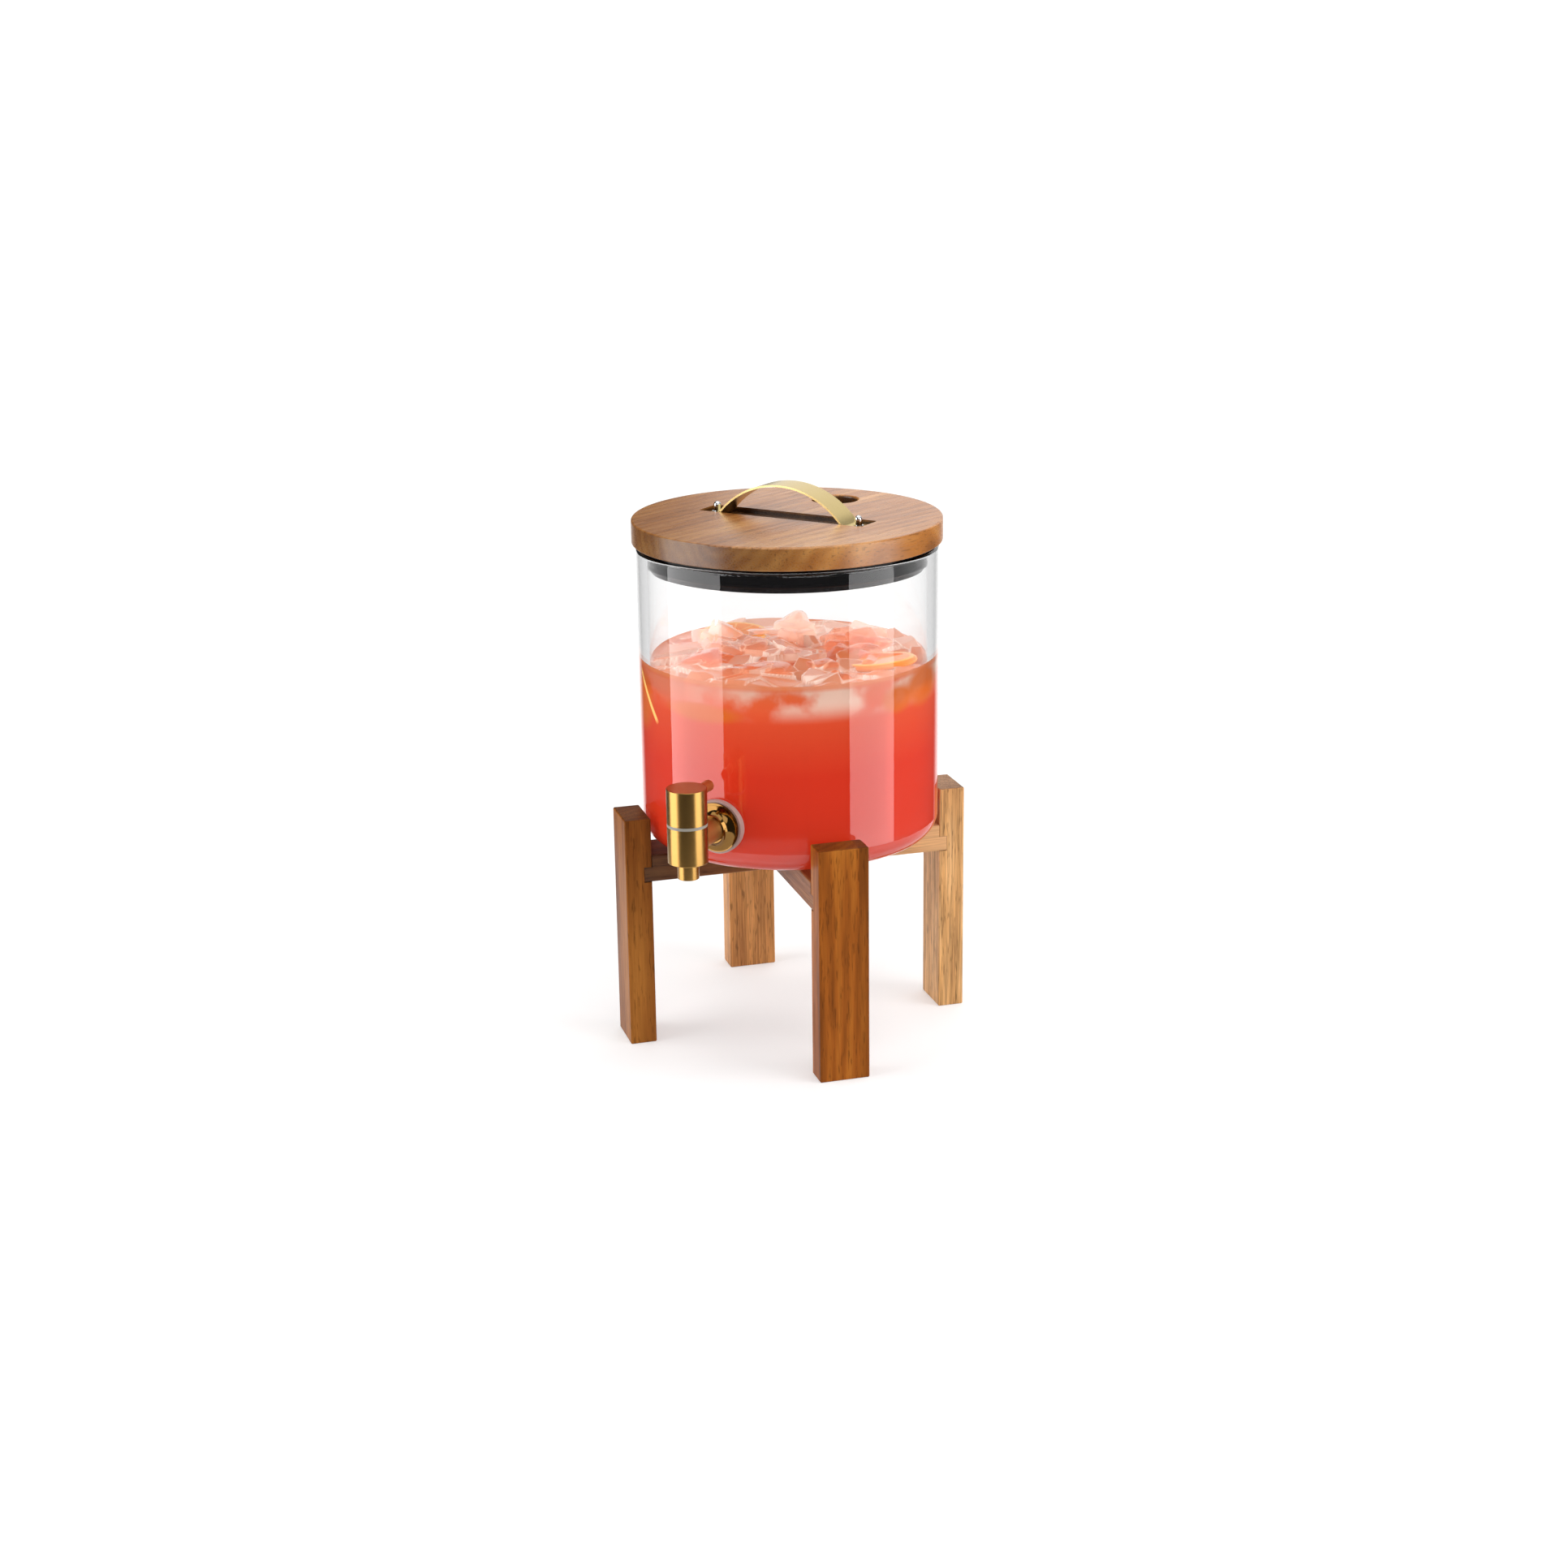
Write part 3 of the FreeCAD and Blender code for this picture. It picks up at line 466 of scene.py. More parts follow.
@dataclass(frozen=True)
class TurnedMetal:
    """Lathe-turned or rolled metal: fine tool lines round its axis break up a bright reflection."""

    name: str
    colour: str
    roughness: float
    bearing: float | None = None
    line: float = 0.3 * MM
    relief: float = 0.004

    def material(self) -> Material:
        """Build the metal's nodes.

        Returns:
            The finished material.
        """
        material, tree, surface = new_material(self.name)
        place = add_node(tree, "ShaderNodeTexCoord").outputs["Object"]
        axis = add_node(tree, "ShaderNodeMapping", {"Vector": place,
                                                    "Rotation": lay_along(self.bearing)}).outputs[0]
        lines = add_node(tree, "ShaderNodeMapping", {"Vector": axis, "Scale": (0.03, 0.03, 1.0)}).outputs[0]
        tool = add_node(tree, "ShaderNodeTexNoise", {"Vector": lines, "Scale": 1 / self.line,
                                                     "Detail": 2.0}).outputs["Fac"]
        rough = add_node(tree, "ShaderNodeMapRange", {0: tool, 1: NOISE_LOW, 2: NOISE_HIGH,
                                                      3: self.roughness * 0.96,
                                                      4: self.roughness * 1.05}).outputs[0]
        tint = add_node(tree, "ShaderNodeMapRange", {0: tool, 1: NOISE_LOW, 2: NOISE_HIGH, 3: 0.96,
                                                     4: 1.03}).outputs[0]
        colour = add_node(tree, "ShaderNodeVectorMath", {0: linear(self.colour)[:3], "Scale": tint},
                          operation="SCALE").outputs[0]
        relief = add_node(tree, "ShaderNodeBump", {"Height": tool, "Strength": self.relief,
                                                   "Distance": 0.02 * MM}).outputs[0]
        feed(tree, surface, {"Base Color": colour, "Roughness": rough, "Metallic": 1.0, "Normal": relief})
        return material


@dataclass(frozen=True)
class JarGlass:
    """Blown soda-lime glass: clear and smooth, with a bright edge where the wall turns away."""

    name: str = "soda_lime_glass"
    ior: float = 1.5

    def material(self) -> Material:
        """Build the glass.

        Returns:
            The finished material.
        """
        material, tree, surface = new_material(self.name)
        feed(tree, surface, {"Base Color": linear("#FFFFFF"), "Roughness": 0.0, "IOR": self.ior,
                             "Transmission Weight": 1.0})
        return material


@dataclass(frozen=True)
class MouldedSoft:
    """Moulded rubber, silicone or plastic: one colour with a faint mould texture."""

    name: str
    colour: str
    roughness: float
    clear: float = 0.0
    glow: float = 0.0
    gloss: float = 0.5
    grit: float = 1.6 * MM

    def material(self) -> Material:
        """Build the moulded finish.

        Returns:
            The finished material.
        """
        material, tree, surface = new_material(self.name)
        place = add_node(tree, "ShaderNodeTexCoord").outputs["Object"]
        skin = add_node(tree, "ShaderNodeTexNoise", {"Vector": place, "Scale": 1 / self.grit,
                                                     "Detail": 2.0}).outputs["Fac"]
        rough = add_node(tree, "ShaderNodeMapRange", {0: skin, 1: NOISE_LOW, 2: NOISE_HIGH,
                                                      3: self.roughness * 0.85,
                                                      4: self.roughness * 1.15}).outputs[0]
        relief = add_node(tree, "ShaderNodeBump", {"Height": skin, "Strength": 0.05,
                                                   "Distance": 0.05 * MM}).outputs[0]
        feed(tree, surface, {"Base Color": linear(self.colour), "Roughness": rough,
                             "Specular IOR Level": self.gloss, "Transmission Weight": self.clear,
                             "Subsurface Weight": self.glow, "Subsurface Scale": 1.0,
                             "Subsurface Radius": (3 * MM, 2 * MM, 2 * MM), "Normal": relief})
        return material


@dataclass(frozen=True)
class CloudyDrink:
    """Cloudy citrus drink: deep red below, pale haze round the ice, and orange where fruit shows.

    The drink also glows a little: painted light that stands in for light from behind spreading through the
    cloudy drink.
    """

    level: float
    name: str = "cloudy_drink"
    bottom: float = 138 * MM
    shine: float = 0.5
    cloud: float = 30 * MM
    wisp: float = 11 * MM
    fruit: tuple[tuple[Point, float, float], ...] = (
        ((0.046, -0.078, 0.239), 17 * MM, 1.5),
        ((0.067, -0.061, 0.2425), 26 * MM, 1.6),
        ((-0.072, -0.055, 0.2345), 34 * MM, 4.5),
        ((-0.0895, 0.006, 0.231), 22 * MM, 0.9),
    )
    pith: Point = (-0.0896, -0.004, 0.2343)
    pith_across: Point = (0.0, -0.733, 0.68)

    def material(self) -> Material:
        """Build the drink's nodes.

        Returns:
            The finished material.
        """
        material, tree, surface = new_material(self.name)
        place = add_node(tree, "ShaderNodeTexCoord").outputs["Object"]
        height = add_node(tree, "ShaderNodeSeparateXYZ", {0: place}).outputs["Z"]
        rise = add_node(tree, "ShaderNodeMapRange", {0: height, 1: self.bottom, 2: self.level}).outputs[0]
        body = add_node(tree, "ShaderNodeValToRGB", {0: rise},
                        stops=((0.0, "#AE2A16"), (1.0, "#BF6A42"), (0.5, "#AE2A16"), (0.8, "#B23E22"),
                               (0.985, "#BA5430"))).outputs[0]
        layers = [(self.haze(tree, place, height), "#BFA292")]
        # Fruit near the wall glows orange through the cloudy drink.
        for centre, reach, squash in self.fruit:
            far = self.distance(tree, place, centre, (1.0, 1.0, squash))
            spot = add_node(tree, "ShaderNodeMapRange", {0: far, 1: reach * 0.5, 2: reach, 3: 0.88, 4: 0.0},
                            interpolation_type="SMOOTHSTEP").outputs[0]
            layers.append((spot, "#B0541A"))
        layers.append((self.pith_line(tree, place), "#EDC06E"))
        # Painted light: chips of ice at the back are white as if lit from behind, and all chips have painted
        # highlights along their edges.
        painted_highlight = add_node(tree, "ShaderNodeAttribute", attribute_name="painted_highlight").outputs["Fac"]
        layers.append((painted_highlight, "#F4E4D8"))
        for share, code in layers:
            body = add_node(tree, "ShaderNodeMix", {0: share, 6: body, 7: linear(code)},
                            data_type="RGBA").outputs[2]
        # Painted light: the drink's own colour glows, as if lit from behind.
        feed(tree, surface, {"Base Color": body, "Emission Color": body, "Emission Strength": self.shine,
                             "Roughness": 0.07, "IOR": 1.33})
        return material

    def haze(self, tree: Tree, place: Socket,
             height: Socket) -> Socket:
        """Show ice below the surface as pale rounded clouds, away from the left wall.

        Args:
            tree: The drink's node tree.
            place: Object coordinates.
            height: Their Z.

        Returns:
            How much haze there is, from nought to one.
        """
        flat = add_node(tree, "ShaderNodeMapping", {"Vector": place, "Scale": (1.0, 1.0, 1.5)}).outputs[0]
        cloud = add_node(tree, "ShaderNodeTexVoronoi", {"Vector": flat, "Scale": 1 / self.cloud,
                                                        "Smoothness": 0.9}, feature="SMOOTH_F1").outputs[0]
        wisps = add_node(tree, "ShaderNodeTexNoise", {"Vector": place, "Scale": 1 / self.wisp,
                                                      "Detail": 3.0}).outputs["Fac"]
        haze = add_node(tree, "ShaderNodeMath", {0: wisps, 1: 0.7, 2: cloud},
                        operation="MULTIPLY_ADD").outputs[0]
        haze = add_node(tree, "ShaderNodeMapRange", {0: haze, 1: 1.10, 2: 0.64, 3: 0.0, 4: 1.0},
                        interpolation_type="SMOOTHSTEP").outputs[0]
        near = add_node(tree, "ShaderNodeMapRange", {0: height, 1: self.level - 24 * MM,
                                                     2: self.level - 9 * MM, 3: 0.0, 4: 0.92},
                        interpolation_type="SMOOTHSTEP").outputs[0]
        under = add_node(tree, "ShaderNodeMapRange", {0: height, 1: self.level - 3 * MM,
                                                      2: self.level - 0.5 * MM, 3: 1.0, 4: 0.3}).outputs[0]
        across = add_node(tree, "ShaderNodeSeparateXYZ", {0: place}).outputs["X"]
        gather = add_node(tree, "ShaderNodeMapRange", {0: across, 1: -80 * MM, 2: -35 * MM, 3: 0.2,
                                                       4: 1.0}).outputs[0]
        for limit in (under, gather, haze):
            near = add_node(tree, "ShaderNodeMath", {0: near, 1: limit}, operation="MULTIPLY").outputs[0]
        return near

    def pith_line(self, tree: Tree, place: Socket) -> Socket:
        """Draw the pith of a slice that stands against the left wall, as a pale leaning line.

        Args:
            tree: The drink's node tree.
            place: Object coordinates.

        Returns:
            How much pith shows, from nought to one.
        """
        far = self.distance(tree, place, self.pith, (1.0, 1.0, 1.0))
        short = add_node(tree, "ShaderNodeMapRange", {0: far, 1: 17 * MM, 2: 21 * MM, 3: 0.85,
                                                      4: 0.0}).outputs[0]
        off = add_node(tree, "ShaderNodeVectorMath", {0: place, 1: self.pith},
                       operation="SUBTRACT").outputs[0]
        off = add_node(tree, "ShaderNodeVectorMath", {0: off, 1: self.pith_across},
                       operation="DOT_PRODUCT").outputs["Value"]
        off = add_node(tree, "ShaderNodeMath", {0: off}, operation="ABSOLUTE").outputs[0]
        line = add_node(tree, "ShaderNodeMapRange", {0: off, 1: 0.8 * MM, 2: 2.2 * MM, 3: 1.0, 4: 0.0},
                        interpolation_type="SMOOTHSTEP").outputs[0]
        return add_node(tree, "ShaderNodeMath", {0: line, 1: short}, operation="MULTIPLY").outputs[0]

    def distance(self, tree: Tree, place: Socket, centre: Point,
                 squash: Point) -> Socket:
        """Measure how far each spot is from a centre.

        Args:
            tree: The drink's node tree.
            place: Object coordinates.
            centre: The centre, in metres.
            squash: Factors for the three directions.

        Returns:
            The distance, in metres.
        """
        away = add_node(tree, "ShaderNodeVectorMath", {0: place, 1: centre}, operation="SUBTRACT").outputs[0]
        away = add_node(tree, "ShaderNodeVectorMath", {0: away, 1: squash}, operation="MULTIPLY").outputs[0]
        return add_node(tree, "ShaderNodeVectorMath", {0: away}, operation="LENGTH").outputs["Value"]


@dataclass(frozen=True)
class ClearIce:
    """Clear ice: a little haze inside, a wet surface, and edges that light up from behind."""

    name: str = "clear_ice"
    haze: float = 9 * MM
    front: float = -10 * MM
    back: float = 50 * MM

    def material(self) -> Material:
        """Build the ice.

        Returns:
            The finished material.
        """
        material, tree, surface = new_material(self.name)
        place = add_node(tree, "ShaderNodeTexCoord").outputs["Object"]
        haze = add_node(tree, "ShaderNodeTexNoise", {"Vector": place, "Scale": 1 / self.haze,
                                                     "Detail": 2.0}).outputs["Fac"]
        rough = add_node(tree, "ShaderNodeMapRange", {0: haze, 1: 0.35, 2: 0.65, 3: 0.0, 4: 0.10}).outputs[0]
        # Painted light: ice at the back is white as if lit from behind, and ice in front takes the drink's
        # colour.
        depth = add_node(tree, "ShaderNodeSeparateXYZ", {0: place}).outputs["Y"]
        white = add_node(tree, "ShaderNodeMapRange", {0: depth, 1: self.front, 2: self.back}).outputs[0]
        colour = add_node(tree, "ShaderNodeMix", {0: white, 6: linear("#F4B896"), 7: linear("#FDF1E8")},
                          data_type="RGBA").outputs[2]
        clear = add_node(tree, "ShaderNodeMapRange", {0: white, 3: 0.92, 4: 0.5}).outputs[0]
        # Painted light: a faint orange glow stands in for light from behind passing through the ice.
        feed(tree, surface, {"Base Color": colour, "Roughness": rough, "Transmission Weight": clear,
                             "IOR": 1.31, "Sheen Weight": 0.4, "Sheen Roughness": 0.25,
                             "Emission Color": linear("#E8946E"), "Emission Strength": 0.1})
        return material


@dataclass(frozen=True)
class CutOrange:
    """A cut orange slice: wet flesh in wedges, pale pith between them and at the edge, bright rind."""

    name: str = "cut_orange"
    wedges: int = 10

    def material(self) -> Material:
        """Build the slice's nodes from its UV map: turn across, radius up.

        Returns:
            The finished material.
        """
        material, tree, surface = new_material(self.name)
        flat = add_node(tree, "ShaderNodeTexCoord").outputs["UV"]
        split = add_node(tree, "ShaderNodeSeparateXYZ", {0: flat})
        turn, radius = split.outputs["X"], split.outputs["Y"]
        wedge = add_node(tree, "ShaderNodeMath", {0: turn, 1: float(self.wedges)},
                         operation="MULTIPLY").outputs[0]
        wedge = add_node(tree, "ShaderNodeMath", {0: wedge, 1: 0.5}, operation="PINGPONG").outputs[0]
        wall = add_node(tree, "ShaderNodeMapRange", {0: wedge, 1: 0.03, 2: 0.09, 3: 1.0, 4: 0.0}).outputs[0]
        rim = add_node(tree, "ShaderNodeValToRGB", {0: radius},
                       stops=((0.0, "#E4A85C"), (1.0, "#DE7413"), (0.09, "#D9731C"), (0.80, "#DE7F22"),
                              (0.85, "#E6A34C"), (0.92, "#E8AE58"), (0.95, "#E0780F"))).outputs[0]
        inside = add_node(tree, "ShaderNodeMapRange", {0: radius, 1: 0.78, 2: 0.84, 3: 1.0,
                                                       4: 0.0}).outputs[0]
        wall = add_node(tree, "ShaderNodeMath", {0: wall, 1: inside}, operation="MULTIPLY").outputs[0]
        colour = add_node(tree, "ShaderNodeMix", {0: wall, 6: rim, 7: linear("#E19A48")},
                          data_type="RGBA").outputs[2]
        # Painted light: the slice glows a little, as if lit through from behind.
        feed(tree, surface, {"Base Color": colour, "Emission Color": colour, "Emission Strength": 0.35,
                             "Roughness": 0.12, "Subsurface Weight": 0.15, "Subsurface Scale": 1.0,
                             "Subsurface Radius": (4 * MM, 2 * MM, 1 * MM)})
        return material


# Sub-assemblies


@dataclass
class Stand:
    """Four legs and two crossed bars of oiled acacia."""

    seam_front: float = 9.9 * MM
    seam_right: float = -2.0 * MM

    def dress(self) -> None:
        """Give each board its own piece of wood."""
        boards = {
            "leg_front": OiledAcacia("acacia_front_leg", "#BC742B", "#904D18", "#58290C",
                                     pith=(0.05, 0.05, 0.2), seam=self.seam_front, oil="#FFC880"),
            "leg_left": OiledAcacia("acacia_left_leg", "#A4682D", "#7D461B", "#4F2A0E",
                                    pith=(0.13, -0.06, 0.5), oil="#FFC880"),
            "leg_right": OiledAcacia("acacia_right_leg", "#E2B580", "#C08F58", "#7E5533",
                                     pith=(-0.04, 0.08, 0.9), seam=self.seam_right, seam_across=Across.Y,
                                     streaks=(0.58, 1.34), pore_shade=0.56, strip_shade=1.06),
            "leg_rear": OiledAcacia("acacia_rear_leg", "#E2A96D", "#C4874C", "#8C562C",
                                    pith=(0.02, -0.2, 1.3), streaks=(0.64, 1.26), pore_shade=0.55),
            # Painted shade and light: the lower bar darkens towards its left arm and pales towards its right
            # arm.
            "crossbar_lower": OiledAcacia("acacia_lower_bar", "#A8713F", "#824E28", "#523017",
                                          grain=Grain.LEVEL, pith=(0.05, 0.05, 0.1), painted_light_slope=6.5,
                                          painted_lit_end="#D2A676"),
            "crossbar_upper": OiledAcacia("acacia_upper_bar", "#A76E3F", "#7F4A26", "#4D2915",
                                          grain=Grain.LEVEL, bearing=90.0, pith=(-0.06, 0.05, 0.4)),
        }
        for node, wood in boards.items():
            dress((node,), wood.material())


@dataclass
class Jar:
    """The glass jar with the drink, ice and fruit that it holds."""

    bore: float = 90.4 * MM
    floor: float = 139.2 * MM
    corner: float = 10.0 * MM
    level: float = 253.5 * MM
    soak: float = 0.25 * MM
    climb: float = 1.4 * MM
    turns: int = 640
    top_rings: int = 130
    seed: int = 11
    chip_count: int = 110
    chip_tilt: float = 0.16
    chip_lift: Pair = (-1.2 * MM, 3.4 * MM)
    chip_limit: Pair = (-2 * MM, 5 * MM)
    shore: float = 4 * MM
    highlight_width: float = 1.5 * MM
    behind: Pair = (0.50, 0.87)
    cube_count: int = 46
    cube_size: Pair = (8 * MM, 13 * MM)
    cube_power: float = 0.26
    cube_dent: float = 0.05
    cube_tip: float = 0.35
    cube_room: float = 18 * MM
    cube_depth: Pair = (3.5 * MM, 9 * MM)
    cube_heap: float = 4 * MM
    slice_thick: float = 4.5 * MM
    slice_turns: int = 49

    def build(self) -> None:
        """Dress the jar and fill it."""
        dress(("glass_jar",), JarGlass().material())
        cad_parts["glass_jar"].visible_shadow = False
        self.drink()
        self.ice()
        self.fruit()

    def drink(self) -> None:
        """Fill the jar: a turned outline, closed by a top that is faceted where chips of ice lie.

        The side is a profile of radius and height turned about Z. The top climbs the glass as an
        exponential curve. Each point of the top also takes the height of the tilted plane of its
        nearest chip, faded to level at the glass.
        """
        outer = self.bore + self.soak
        low = self.floor - self.soak
        bend = np.linspace(-math.pi / 2, 0.0, 12)
        centre = outer - self.corner
        side = np.linspace(low + self.corner, self.level + self.climb, 5)[1:]
        inward = np.linspace(1.0, 0.0, self.top_rings)[1:-1] * outer
        climb = self.climb * np.exp((inward - outer) / self.climb)
        radius = np.concatenate(([POLE], centre + self.corner * np.cos(bend), np.full(len(side), outer),
                                 inward, [POLE]))
        height = np.concatenate(([low], low + self.corner + self.corner * np.sin(bend), side,
                                 self.level + climb, [self.level]))
        points = turned(radius, height, np.linspace(0, 2 * math.pi, self.turns, endpoint=False))
        top = slice(len(radius) - len(inward) - 1, None)
        lift, white = self.chips(points[top, :, :2])
        points[top, :, 2] += lift
        # Painted highlights on the chipped top, kept on each point.
        painted_highlight = np.zeros(points.shape[:2], dtype=np.float32)
        painted_highlight[top] = white
        item = grid_mesh("drink", points)
        layer = item.data.attributes.new("painted_highlight", "FLOAT", "POINT")
        layer.data.foreach_set("value", painted_highlight.reshape(-1))
        item.data.materials.append(CloudyDrink(self.level).material())
        item.visible_diffuse = False
        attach(item, "jar")
        LOG.info("filled the jar")

    def chips(self, spots: np.ndarray) -> tuple[np.ndarray, np.ndarray]:
        """Work out the chipped top over each spot.

        A spot takes the height of its nearest chip's tilted plane. Its painted highlight is highest where two
        chips are equally near, fading over the highlight's width, and on chips at the back, which are painted
        white as if lit from behind.

        Args:
            spots: Places on the level surface, in metres.

        Returns:
            Heights above the level, in metres, and painted highlight from nought to one.
        """
        rng = np.random.default_rng(self.seed)
        reach = self.bore * np.sqrt(rng.random(self.chip_count))
        turn = rng.random(self.chip_count) * 2 * math.pi
        chip = np.stack((reach * np.cos(turn), reach * np.sin(turn)), axis=-1)
        tilt = rng.normal(0.0, self.chip_tilt, (self.chip_count, 2))
        lift = rng.uniform(*self.chip_lift, self.chip_count)
        away = spots[..., None, :] - chip
        distance = np.linalg.norm(away, axis=-1)
        nearest = np.argmin(distance, axis=-1)
        offset = np.take_along_axis(away, nearest[..., None, None], axis=-2)[..., 0, :]
        plane = lift[nearest] + (offset * tilt[nearest]).sum(-1)
        fade = np.clip((self.bore - np.linalg.norm(spots, axis=-1)) / self.shore, 0.0, 1.0)
        pair = np.partition(distance, 1, axis=-1)
        # Painted highlight along the edges between chips.
        edge = np.clip(1.0 - (pair[..., 1] - pair[..., 0]) / self.highlight_width, 0.0, 1.0)
        edge *= rng.uniform(0.25, 0.9, self.chip_count)[nearest]
        # Painted light: chips towards the back are whitened as if lit from behind.
        behind = np.clip((chip @ np.array(self.behind) / self.bore - 0.25) / 0.4, 0.0, 1.0)
        white = (behind * rng.uniform(0.1, 0.7, self.chip_count))[nearest]
        return np.clip(plane, *self.chip_limit) * fade, np.maximum(edge, white) * fade

    def squared(self, wave: np.ndarray) -> np.ndarray:
        """Square off a sine or cosine: its sign times a low power of its size."""
        return np.sign(wave) * np.abs(wave) ** self.cube_power

    def ice(self) -> None:
        """Float rounded cubes of ice at the surface.

        Each cube is a superellipsoid: signed powers of the sines and cosines of two angles square
        off a sphere, a slow ripple dents it, and it is then turned and set afloat.
        """
        rng = np.random.default_rng(self.seed + 1)
        end = math.pi / 2 - 1e-3
        across, down = np.meshgrid(np.linspace(-math.pi, math.pi, 28, endpoint=False),
                                   np.linspace(-end, end, 16))
        level = self.squared(np.cos(down))
        cube = np.stack((level * self.squared(np.cos(across)), level * self.squared(np.sin(across)),
                         self.squared(np.sin(down))), axis=-1)
        quads = grid_faces(*cube.shape[:2], True)
        vertices, faces = [], []
        for index in range(self.cube_count):
            size = rng.uniform(*self.cube_size, 3)
            ripple = 1 + self.cube_dent * np.sin(3 * cube @ rng.normal(0, 1, 3))[..., None]
            turn = np.array(Matrix.Rotation(rng.uniform(0, 6.28), 3, "Z")
                            @ Matrix.Rotation(rng.normal(0, self.cube_tip), 3, "X"))
            reach = (self.bore - self.cube_room) * math.sqrt(rng.random())
            way = rng.uniform(0, 2 * math.pi)
            heap = self.cube_heap * reach * math.sin(way) / self.bore
            place = np.array((reach * math.cos(way), reach * math.sin(way),
                              self.level - rng.uniform(*self.cube_depth) + heap))
            vertices.append(((cube * ripple * size) @ turn.T + place).reshape(-1, 3))
            faces.append(quads + index * len(vertices[0]))
        item = mesh_object("ice_cubes", np.concatenate(vertices), np.concatenate(faces))
        item.data.materials.append(ClearIce().material())
        item.visible_shadow = False
        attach(item, "jar")
        LOG.info("floated the ice")

    def fruit(self) -> None:
        """Lay orange slices among the ice."""
        skin = CutOrange().material()
        for name, place, wide, tip, bearing in (
                ("orange_slice_back", (-0.022, 0.056, 0.2540), 25 * MM, 5.0, 250.0),
                ("orange_slice_right", (0.0455, -0.0495, 0.2560), 22 * MM, 8.0, 132.0)):
            item = self.slice(name, place, wide, tip, bearing)
            item.data.materials.append(skin)
            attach(item, "jar")
            LOG.info("laid %s", name)

    def slice(self, name: str, place: Point, wide: float, tip: float, bearing: float) -> bpy.types.Object:
        """Cut one slice: an outline of radius and height turned a full turn, then tipped into place.

        Args:
            name: The piece's name.
            place: Its middle, in metres.
            wide: Its radius, in metres.
            tip: How far it leans over, in degrees.
            bearing: Which way it leans, in degrees.

        Returns:
            The slice.
        """
        radius = np.array((POLE, 0.2, 0.5, 0.78, 0.92, 0.98, 1.0, 0.98, 0.92, 0.78, 0.5, 0.2, POLE))
        height = np.array((-.5, -.5, -.5, -.5, -.48, -.3, 0, .3, .48, .5, .5, .5, .5)) * self.slice_thick
        angle = np.linspace(0, 2 * math.pi, self.slice_turns)
        lean = np.array(Matrix.Rotation(math.radians(bearing), 3, "Z")
                        @ Matrix.Rotation(math.radians(tip), 3, "Y"))
        uv = np.stack(np.broadcast_arrays(angle / (2 * math.pi), radius[:, None]), axis=-1)
        points = turned(radius * wide, height, angle) @ lean.T + np.array(place)
        return grid_mesh(name, points, wrap=False, uv=uv)


@dataclass
class Tap:
    """The brass tap with its flange, washers and glide ring."""

    bearing: float = -134.0

    def dress(self) -> None:
        """Give the tap's pieces their metals and seals."""
        barrel = TurnedMetal("turned_brass", "#AE864A", 0.26)
        stem = TurnedMetal("turned_brass_stem", "#C4975A", 0.36, self.bearing)
        # Painted shade: the flange's brass is darker than the barrel's, for the dark room that its polished
        # face mirrors.
        polished = TurnedMetal("polished_brass", "#826034", 0.09, self.bearing)
        dress(("tap_body", "tap_cap", "tap_spout", "valve_plug"), barrel.material())
        dress(("tap_stem", "lever_pin", "tap_nut"), stem.material())
        dress(("tap_flange",), polished.material())
        dress(("tap_outer_washer", "tap_inner_washer"),
              MouldedSoft("whitish_silicone", "#BDA099", 0.38, clear=0.35, glow=0.2).material())
        dress(("tap_glide_ring",), MouldedSoft("grey_acetal", "#8C877D", 0.45).material())
        dress(("valve_orings",), MouldedSoft("nitrile_rubber", "#1B1919", 0.5).material())
        dress(("valve_clip",), TurnedMetal("spring_steel", "#B9B9B6", 0.3).material())


@dataclass
class Lid:
    """The wooden lid with its seal, strap handle and fasteners."""

    grain_bearing: float = 33.0
    slot_bearing: float = -47.0
    top: float = 344.0 * MM

    def dress(self) -> None:
        """Give the lid's pieces their finishes."""
        # Painted shade and light: the lid's wood darkens towards -X and lightens towards +X.
        wood = OiledAcacia("acacia_lid", "#C48A4B", "#A2662F", "#7A4A24", grain=Grain.LEVEL,
                           bearing=self.grain_bearing, pith=(0.36, 0.03, 0.2), ring=8 * MM,
                           streaks=(0.87, 1.06), cut_top=self.top, painted_light_slope=2.0, roughness=0.27, gloss=0.6)
        dress(("lid_disc",), wood.material())
        dress(("lid_seal",), MouldedSoft("black_rubber", "#080708", 0.16, gloss=0.08).material())
        strap = TurnedMetal("satin_brass_strip", "#DCC486", 0.26, self.slot_bearing + 90.0)
        dress(("handle_strap",), strap.material())
        dress(("handle_nuts",), TurnedMetal("bright_chrome", "#C9CACC", 0.07).material())
        dress(("handle_screws",), TurnedMetal("plain_steel", "#B9B9B6", 0.3).material())


@dataclass(frozen=True)
class Softbox:
    """One lit cloth box: where its middle is, what it faces, its width and height, its brightness."""

    name: str
    place: Point
    target: Point
    size: Pair
    radiance: float

    def hang(self) -> None:
        """Hang the box where glass mirrors it, but neither the camera nor a ray through glass sees it."""
        lamp = bpy.data.lights.new(self.name, "AREA")
        lamp.shape = "RECTANGLE"
        lamp.size, lamp.size_y = self.size
        lamp.energy = self.radiance * math.pi * self.size[0] * self.size[1]
        item = bpy.data.objects.new(self.name, lamp)
        bpy.context.scene.collection.objects.link(item)
        item.location = self.place
        item.rotation_euler = (Vector(self.target) - Vector(self.place)).to_track_quat("-Z", "Y").to_euler()
        item.visible_camera = False
        item.visible_transmission = False


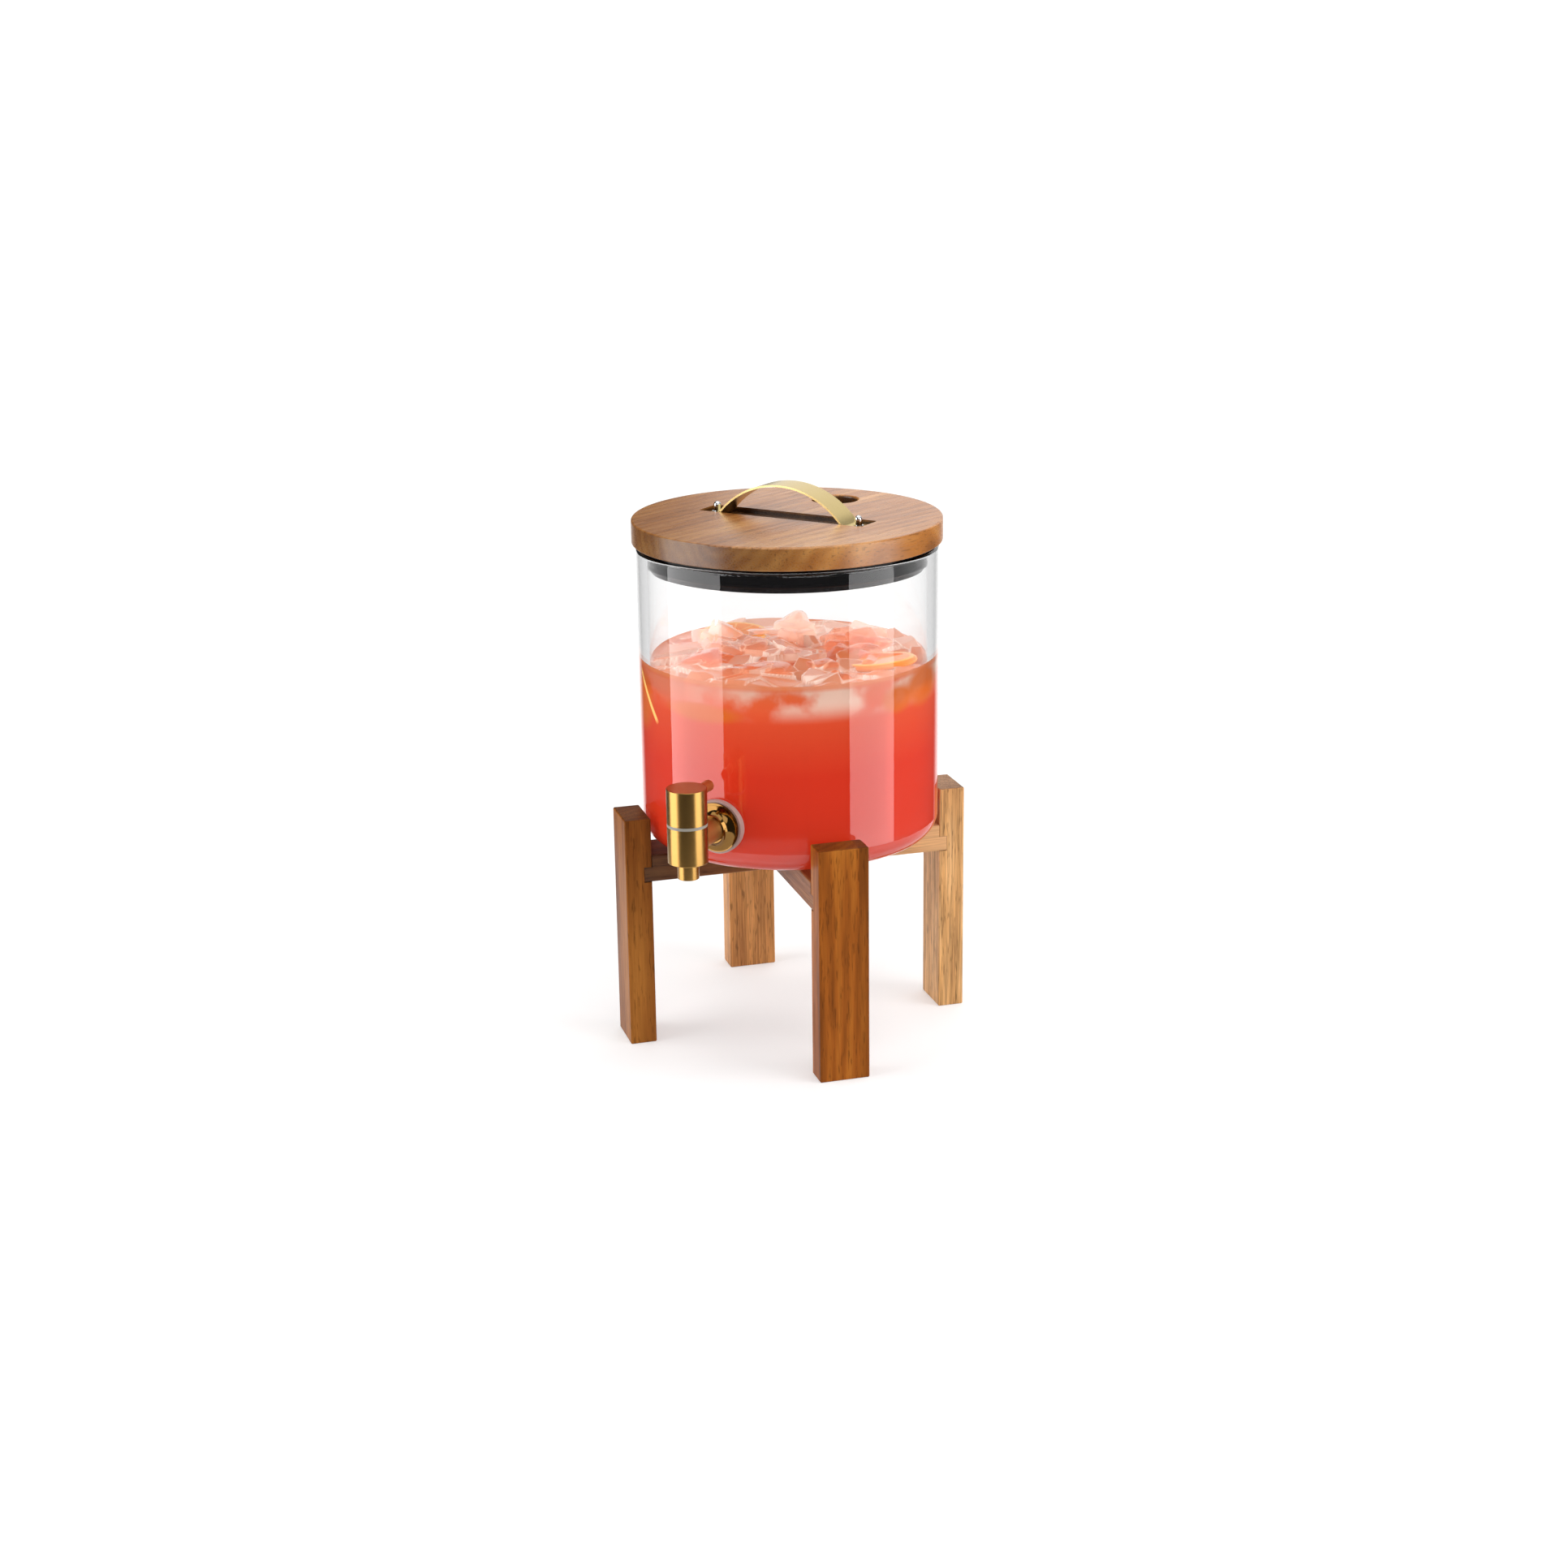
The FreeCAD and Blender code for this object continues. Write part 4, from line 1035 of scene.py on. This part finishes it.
@dataclass
class Studio:
    """The pale floor, the softboxes and the camera of the photograph."""

    floor_radius: float = 0.46
    lens: float = 59.98
    sensor: float = 36.0
    eye: Point = (-0.46610, -1.58385, 0.66960)
    right: Point = (0.95885914, -0.28360728, -0.01249223)
    up: Point = (0.09450463, 0.27740074, 0.95609503)
    ahead: Point = (0.26769016, 0.91794103, -0.29279044)
    sheet: Point = (0.40, 0.85, -0.29)
    glance: Point = (0.27, 0.86, -0.43)
    room: float = 0.07
    white: float = 1.12
    grey: float = 0.72
    boxes: tuple[Softbox, ...] = (
        Softbox("left_strip", (-1.6, 0.04, -0.33), (0, 0, -0.33), (1.5, 0.9), 3.6),
        Softbox("left_fill", (-1.6, 0.04, 0.72), (0, 0, 0.2), (1.5, 1.2), 3.6),
        Softbox("right_strip", (1.2, -1.06, -0.33), (0, 0, -0.33), (1.15, 0.9), 3.4),
        Softbox("right_fill", (1.2, -1.06, 0.72), (0, 0, 0.2), (1.15, 1.2), 4.4),
        Softbox("front_fill", (-0.1, -1.9, 1.5), (0, 0, 0.2), (1.8, 1.2), 1.9),
        Softbox("overhead", (0.2, 0.2, 1.9), (0, 0, 0.1), (2.6, 2.6), 1.7),
        Softbox("backdrop", (1.10, 1.43, 0.80), (0, 0, 0.3), (1.64, 1.5), 0.98),
    )

    def build(self) -> None:
        """Set up the floor, light, world and camera."""
        self.floor()
        for box in self.boxes:
            box.hang()
        self.world()
        self.camera()
        bpy.context.scene.view_settings.view_transform = "Standard"

    def floor(self) -> None:
        """Lay a round floor of white paper: rings of points out from the middle."""
        radius = np.linspace(POLE, self.floor_radius, 12)
        points = turned(radius, np.zeros(12), np.linspace(0, 2 * math.pi, 128, endpoint=False))
        item = grid_mesh("floor", points[::-1])
        material, tree, surface = new_material("white_paper")
        feed(tree, surface, {"Base Color": linear("#D2D2D2"), "Emission Color": linear("#FFFFFF"),
                             "Emission Strength": 0.36, "Roughness": 0.8, "Specular IOR Level": 0.1})
        item.data.materials.append(material)

    def world(self) -> None:
        """Hang white sheets round the jar, in a dim room.

        The eye sees white all over. Rays straight through glass see a white sheet behind the jar and
        one in front, with grey between them and paler sides, so grey draws the edges of the glass.
        Rays that glass also mirrors see the room darken towards the front. Rays that are only
        mirrored see the dim room, and the white sheet where they glance off low towards the back.
        """
        world = bpy.data.worlds.new("studio")
        bpy.context.scene.world = world
        world.use_nodes = True
        tree = world.node_tree
        way = add_node(tree, "ShaderNodeTexCoord").outputs["Generated"]
        facing = add_node(tree, "ShaderNodeVectorMath", {0: way, 1: self.sheet},
                          operation="DOT_PRODUCT").outputs["Value"]
        square = add_node(tree, "ShaderNodeMath", {0: facing}, operation="ABSOLUTE").outputs[0]
        sheet = add_node(tree, "ShaderNodeMapRange", {0: square, 1: 0.70, 2: 0.93, 3: self.grey,
                                                      4: self.white},
                         interpolation_type="SMOOTHSTEP").outputs[0]
        sides = add_node(tree, "ShaderNodeMapRange", {0: square, 1: 0.45, 2: 0.15, 3: self.grey, 4: 1.05},
                         interpolation_type="SMOOTHSTEP").outputs[0]
        sheet = add_node(tree, "ShaderNodeMath", {0: sheet, 1: sides}, operation="MAXIMUM").outputs[0]
        rays = add_node(tree, "ShaderNodeLightPath").outputs
        straight = add_node(tree, "ShaderNodeMath", {0: rays["Glossy Depth"], 1: 0.5},
                            operation="LESS_THAN").outputs[0]
        mirrored = add_node(tree, "ShaderNodeMapRange", {0: facing, 1: -0.4, 2: 0.2, 3: self.room,
                                                         4: 0.9}).outputs[0]
        through = add_node(tree, "ShaderNodeMix", {0: straight, 2: mirrored, 3: sheet}).outputs[0]
        low = add_node(tree, "ShaderNodeVectorMath", {0: way, 1: self.glance},
                       operation="DOT_PRODUCT").outputs["Value"]
        glancing = add_node(tree, "ShaderNodeMapRange", {0: low, 1: 0.86, 2: 0.95, 3: self.room, 4: 1.2},
                            interpolation_type="SMOOTHSTEP").outputs[0]
        shine = self.room
        for kind, seen in (("Is Glossy Ray", glancing), ("Is Transmission Ray", through),
                           ("Is Camera Ray", self.white)):
            shine = add_node(tree, "ShaderNodeMix", {0: rays[kind], 2: shine, 3: seen}).outputs[0]
        feed(tree, tree.nodes["Background"], {"Color": linear("#FFFFFF"), "Strength": shine})

    def camera(self) -> None:
        """Stand the camera where the photograph was taken from."""
        data = bpy.data.cameras.new("camera")
        data.lens = self.lens
        data.sensor_width = self.sensor
        item = bpy.data.objects.new("camera", data)
        bpy.context.scene.collection.objects.link(item)
        axes = Matrix((self.right, self.up, [-part for part in self.ahead])).transposed()
        item.matrix_world = Matrix.Translation(self.eye) @ axes.to_4x4()
        bpy.context.scene.camera = item


def main() -> None:
    """Build the dispenser's looks and the studio."""
    logging.basicConfig(level=logging.INFO)
    Stand().dress()
    Jar().build()
    Tap().dress()
    Lid().dress()
    Studio().build()


if __name__ == "__main__":
    main()
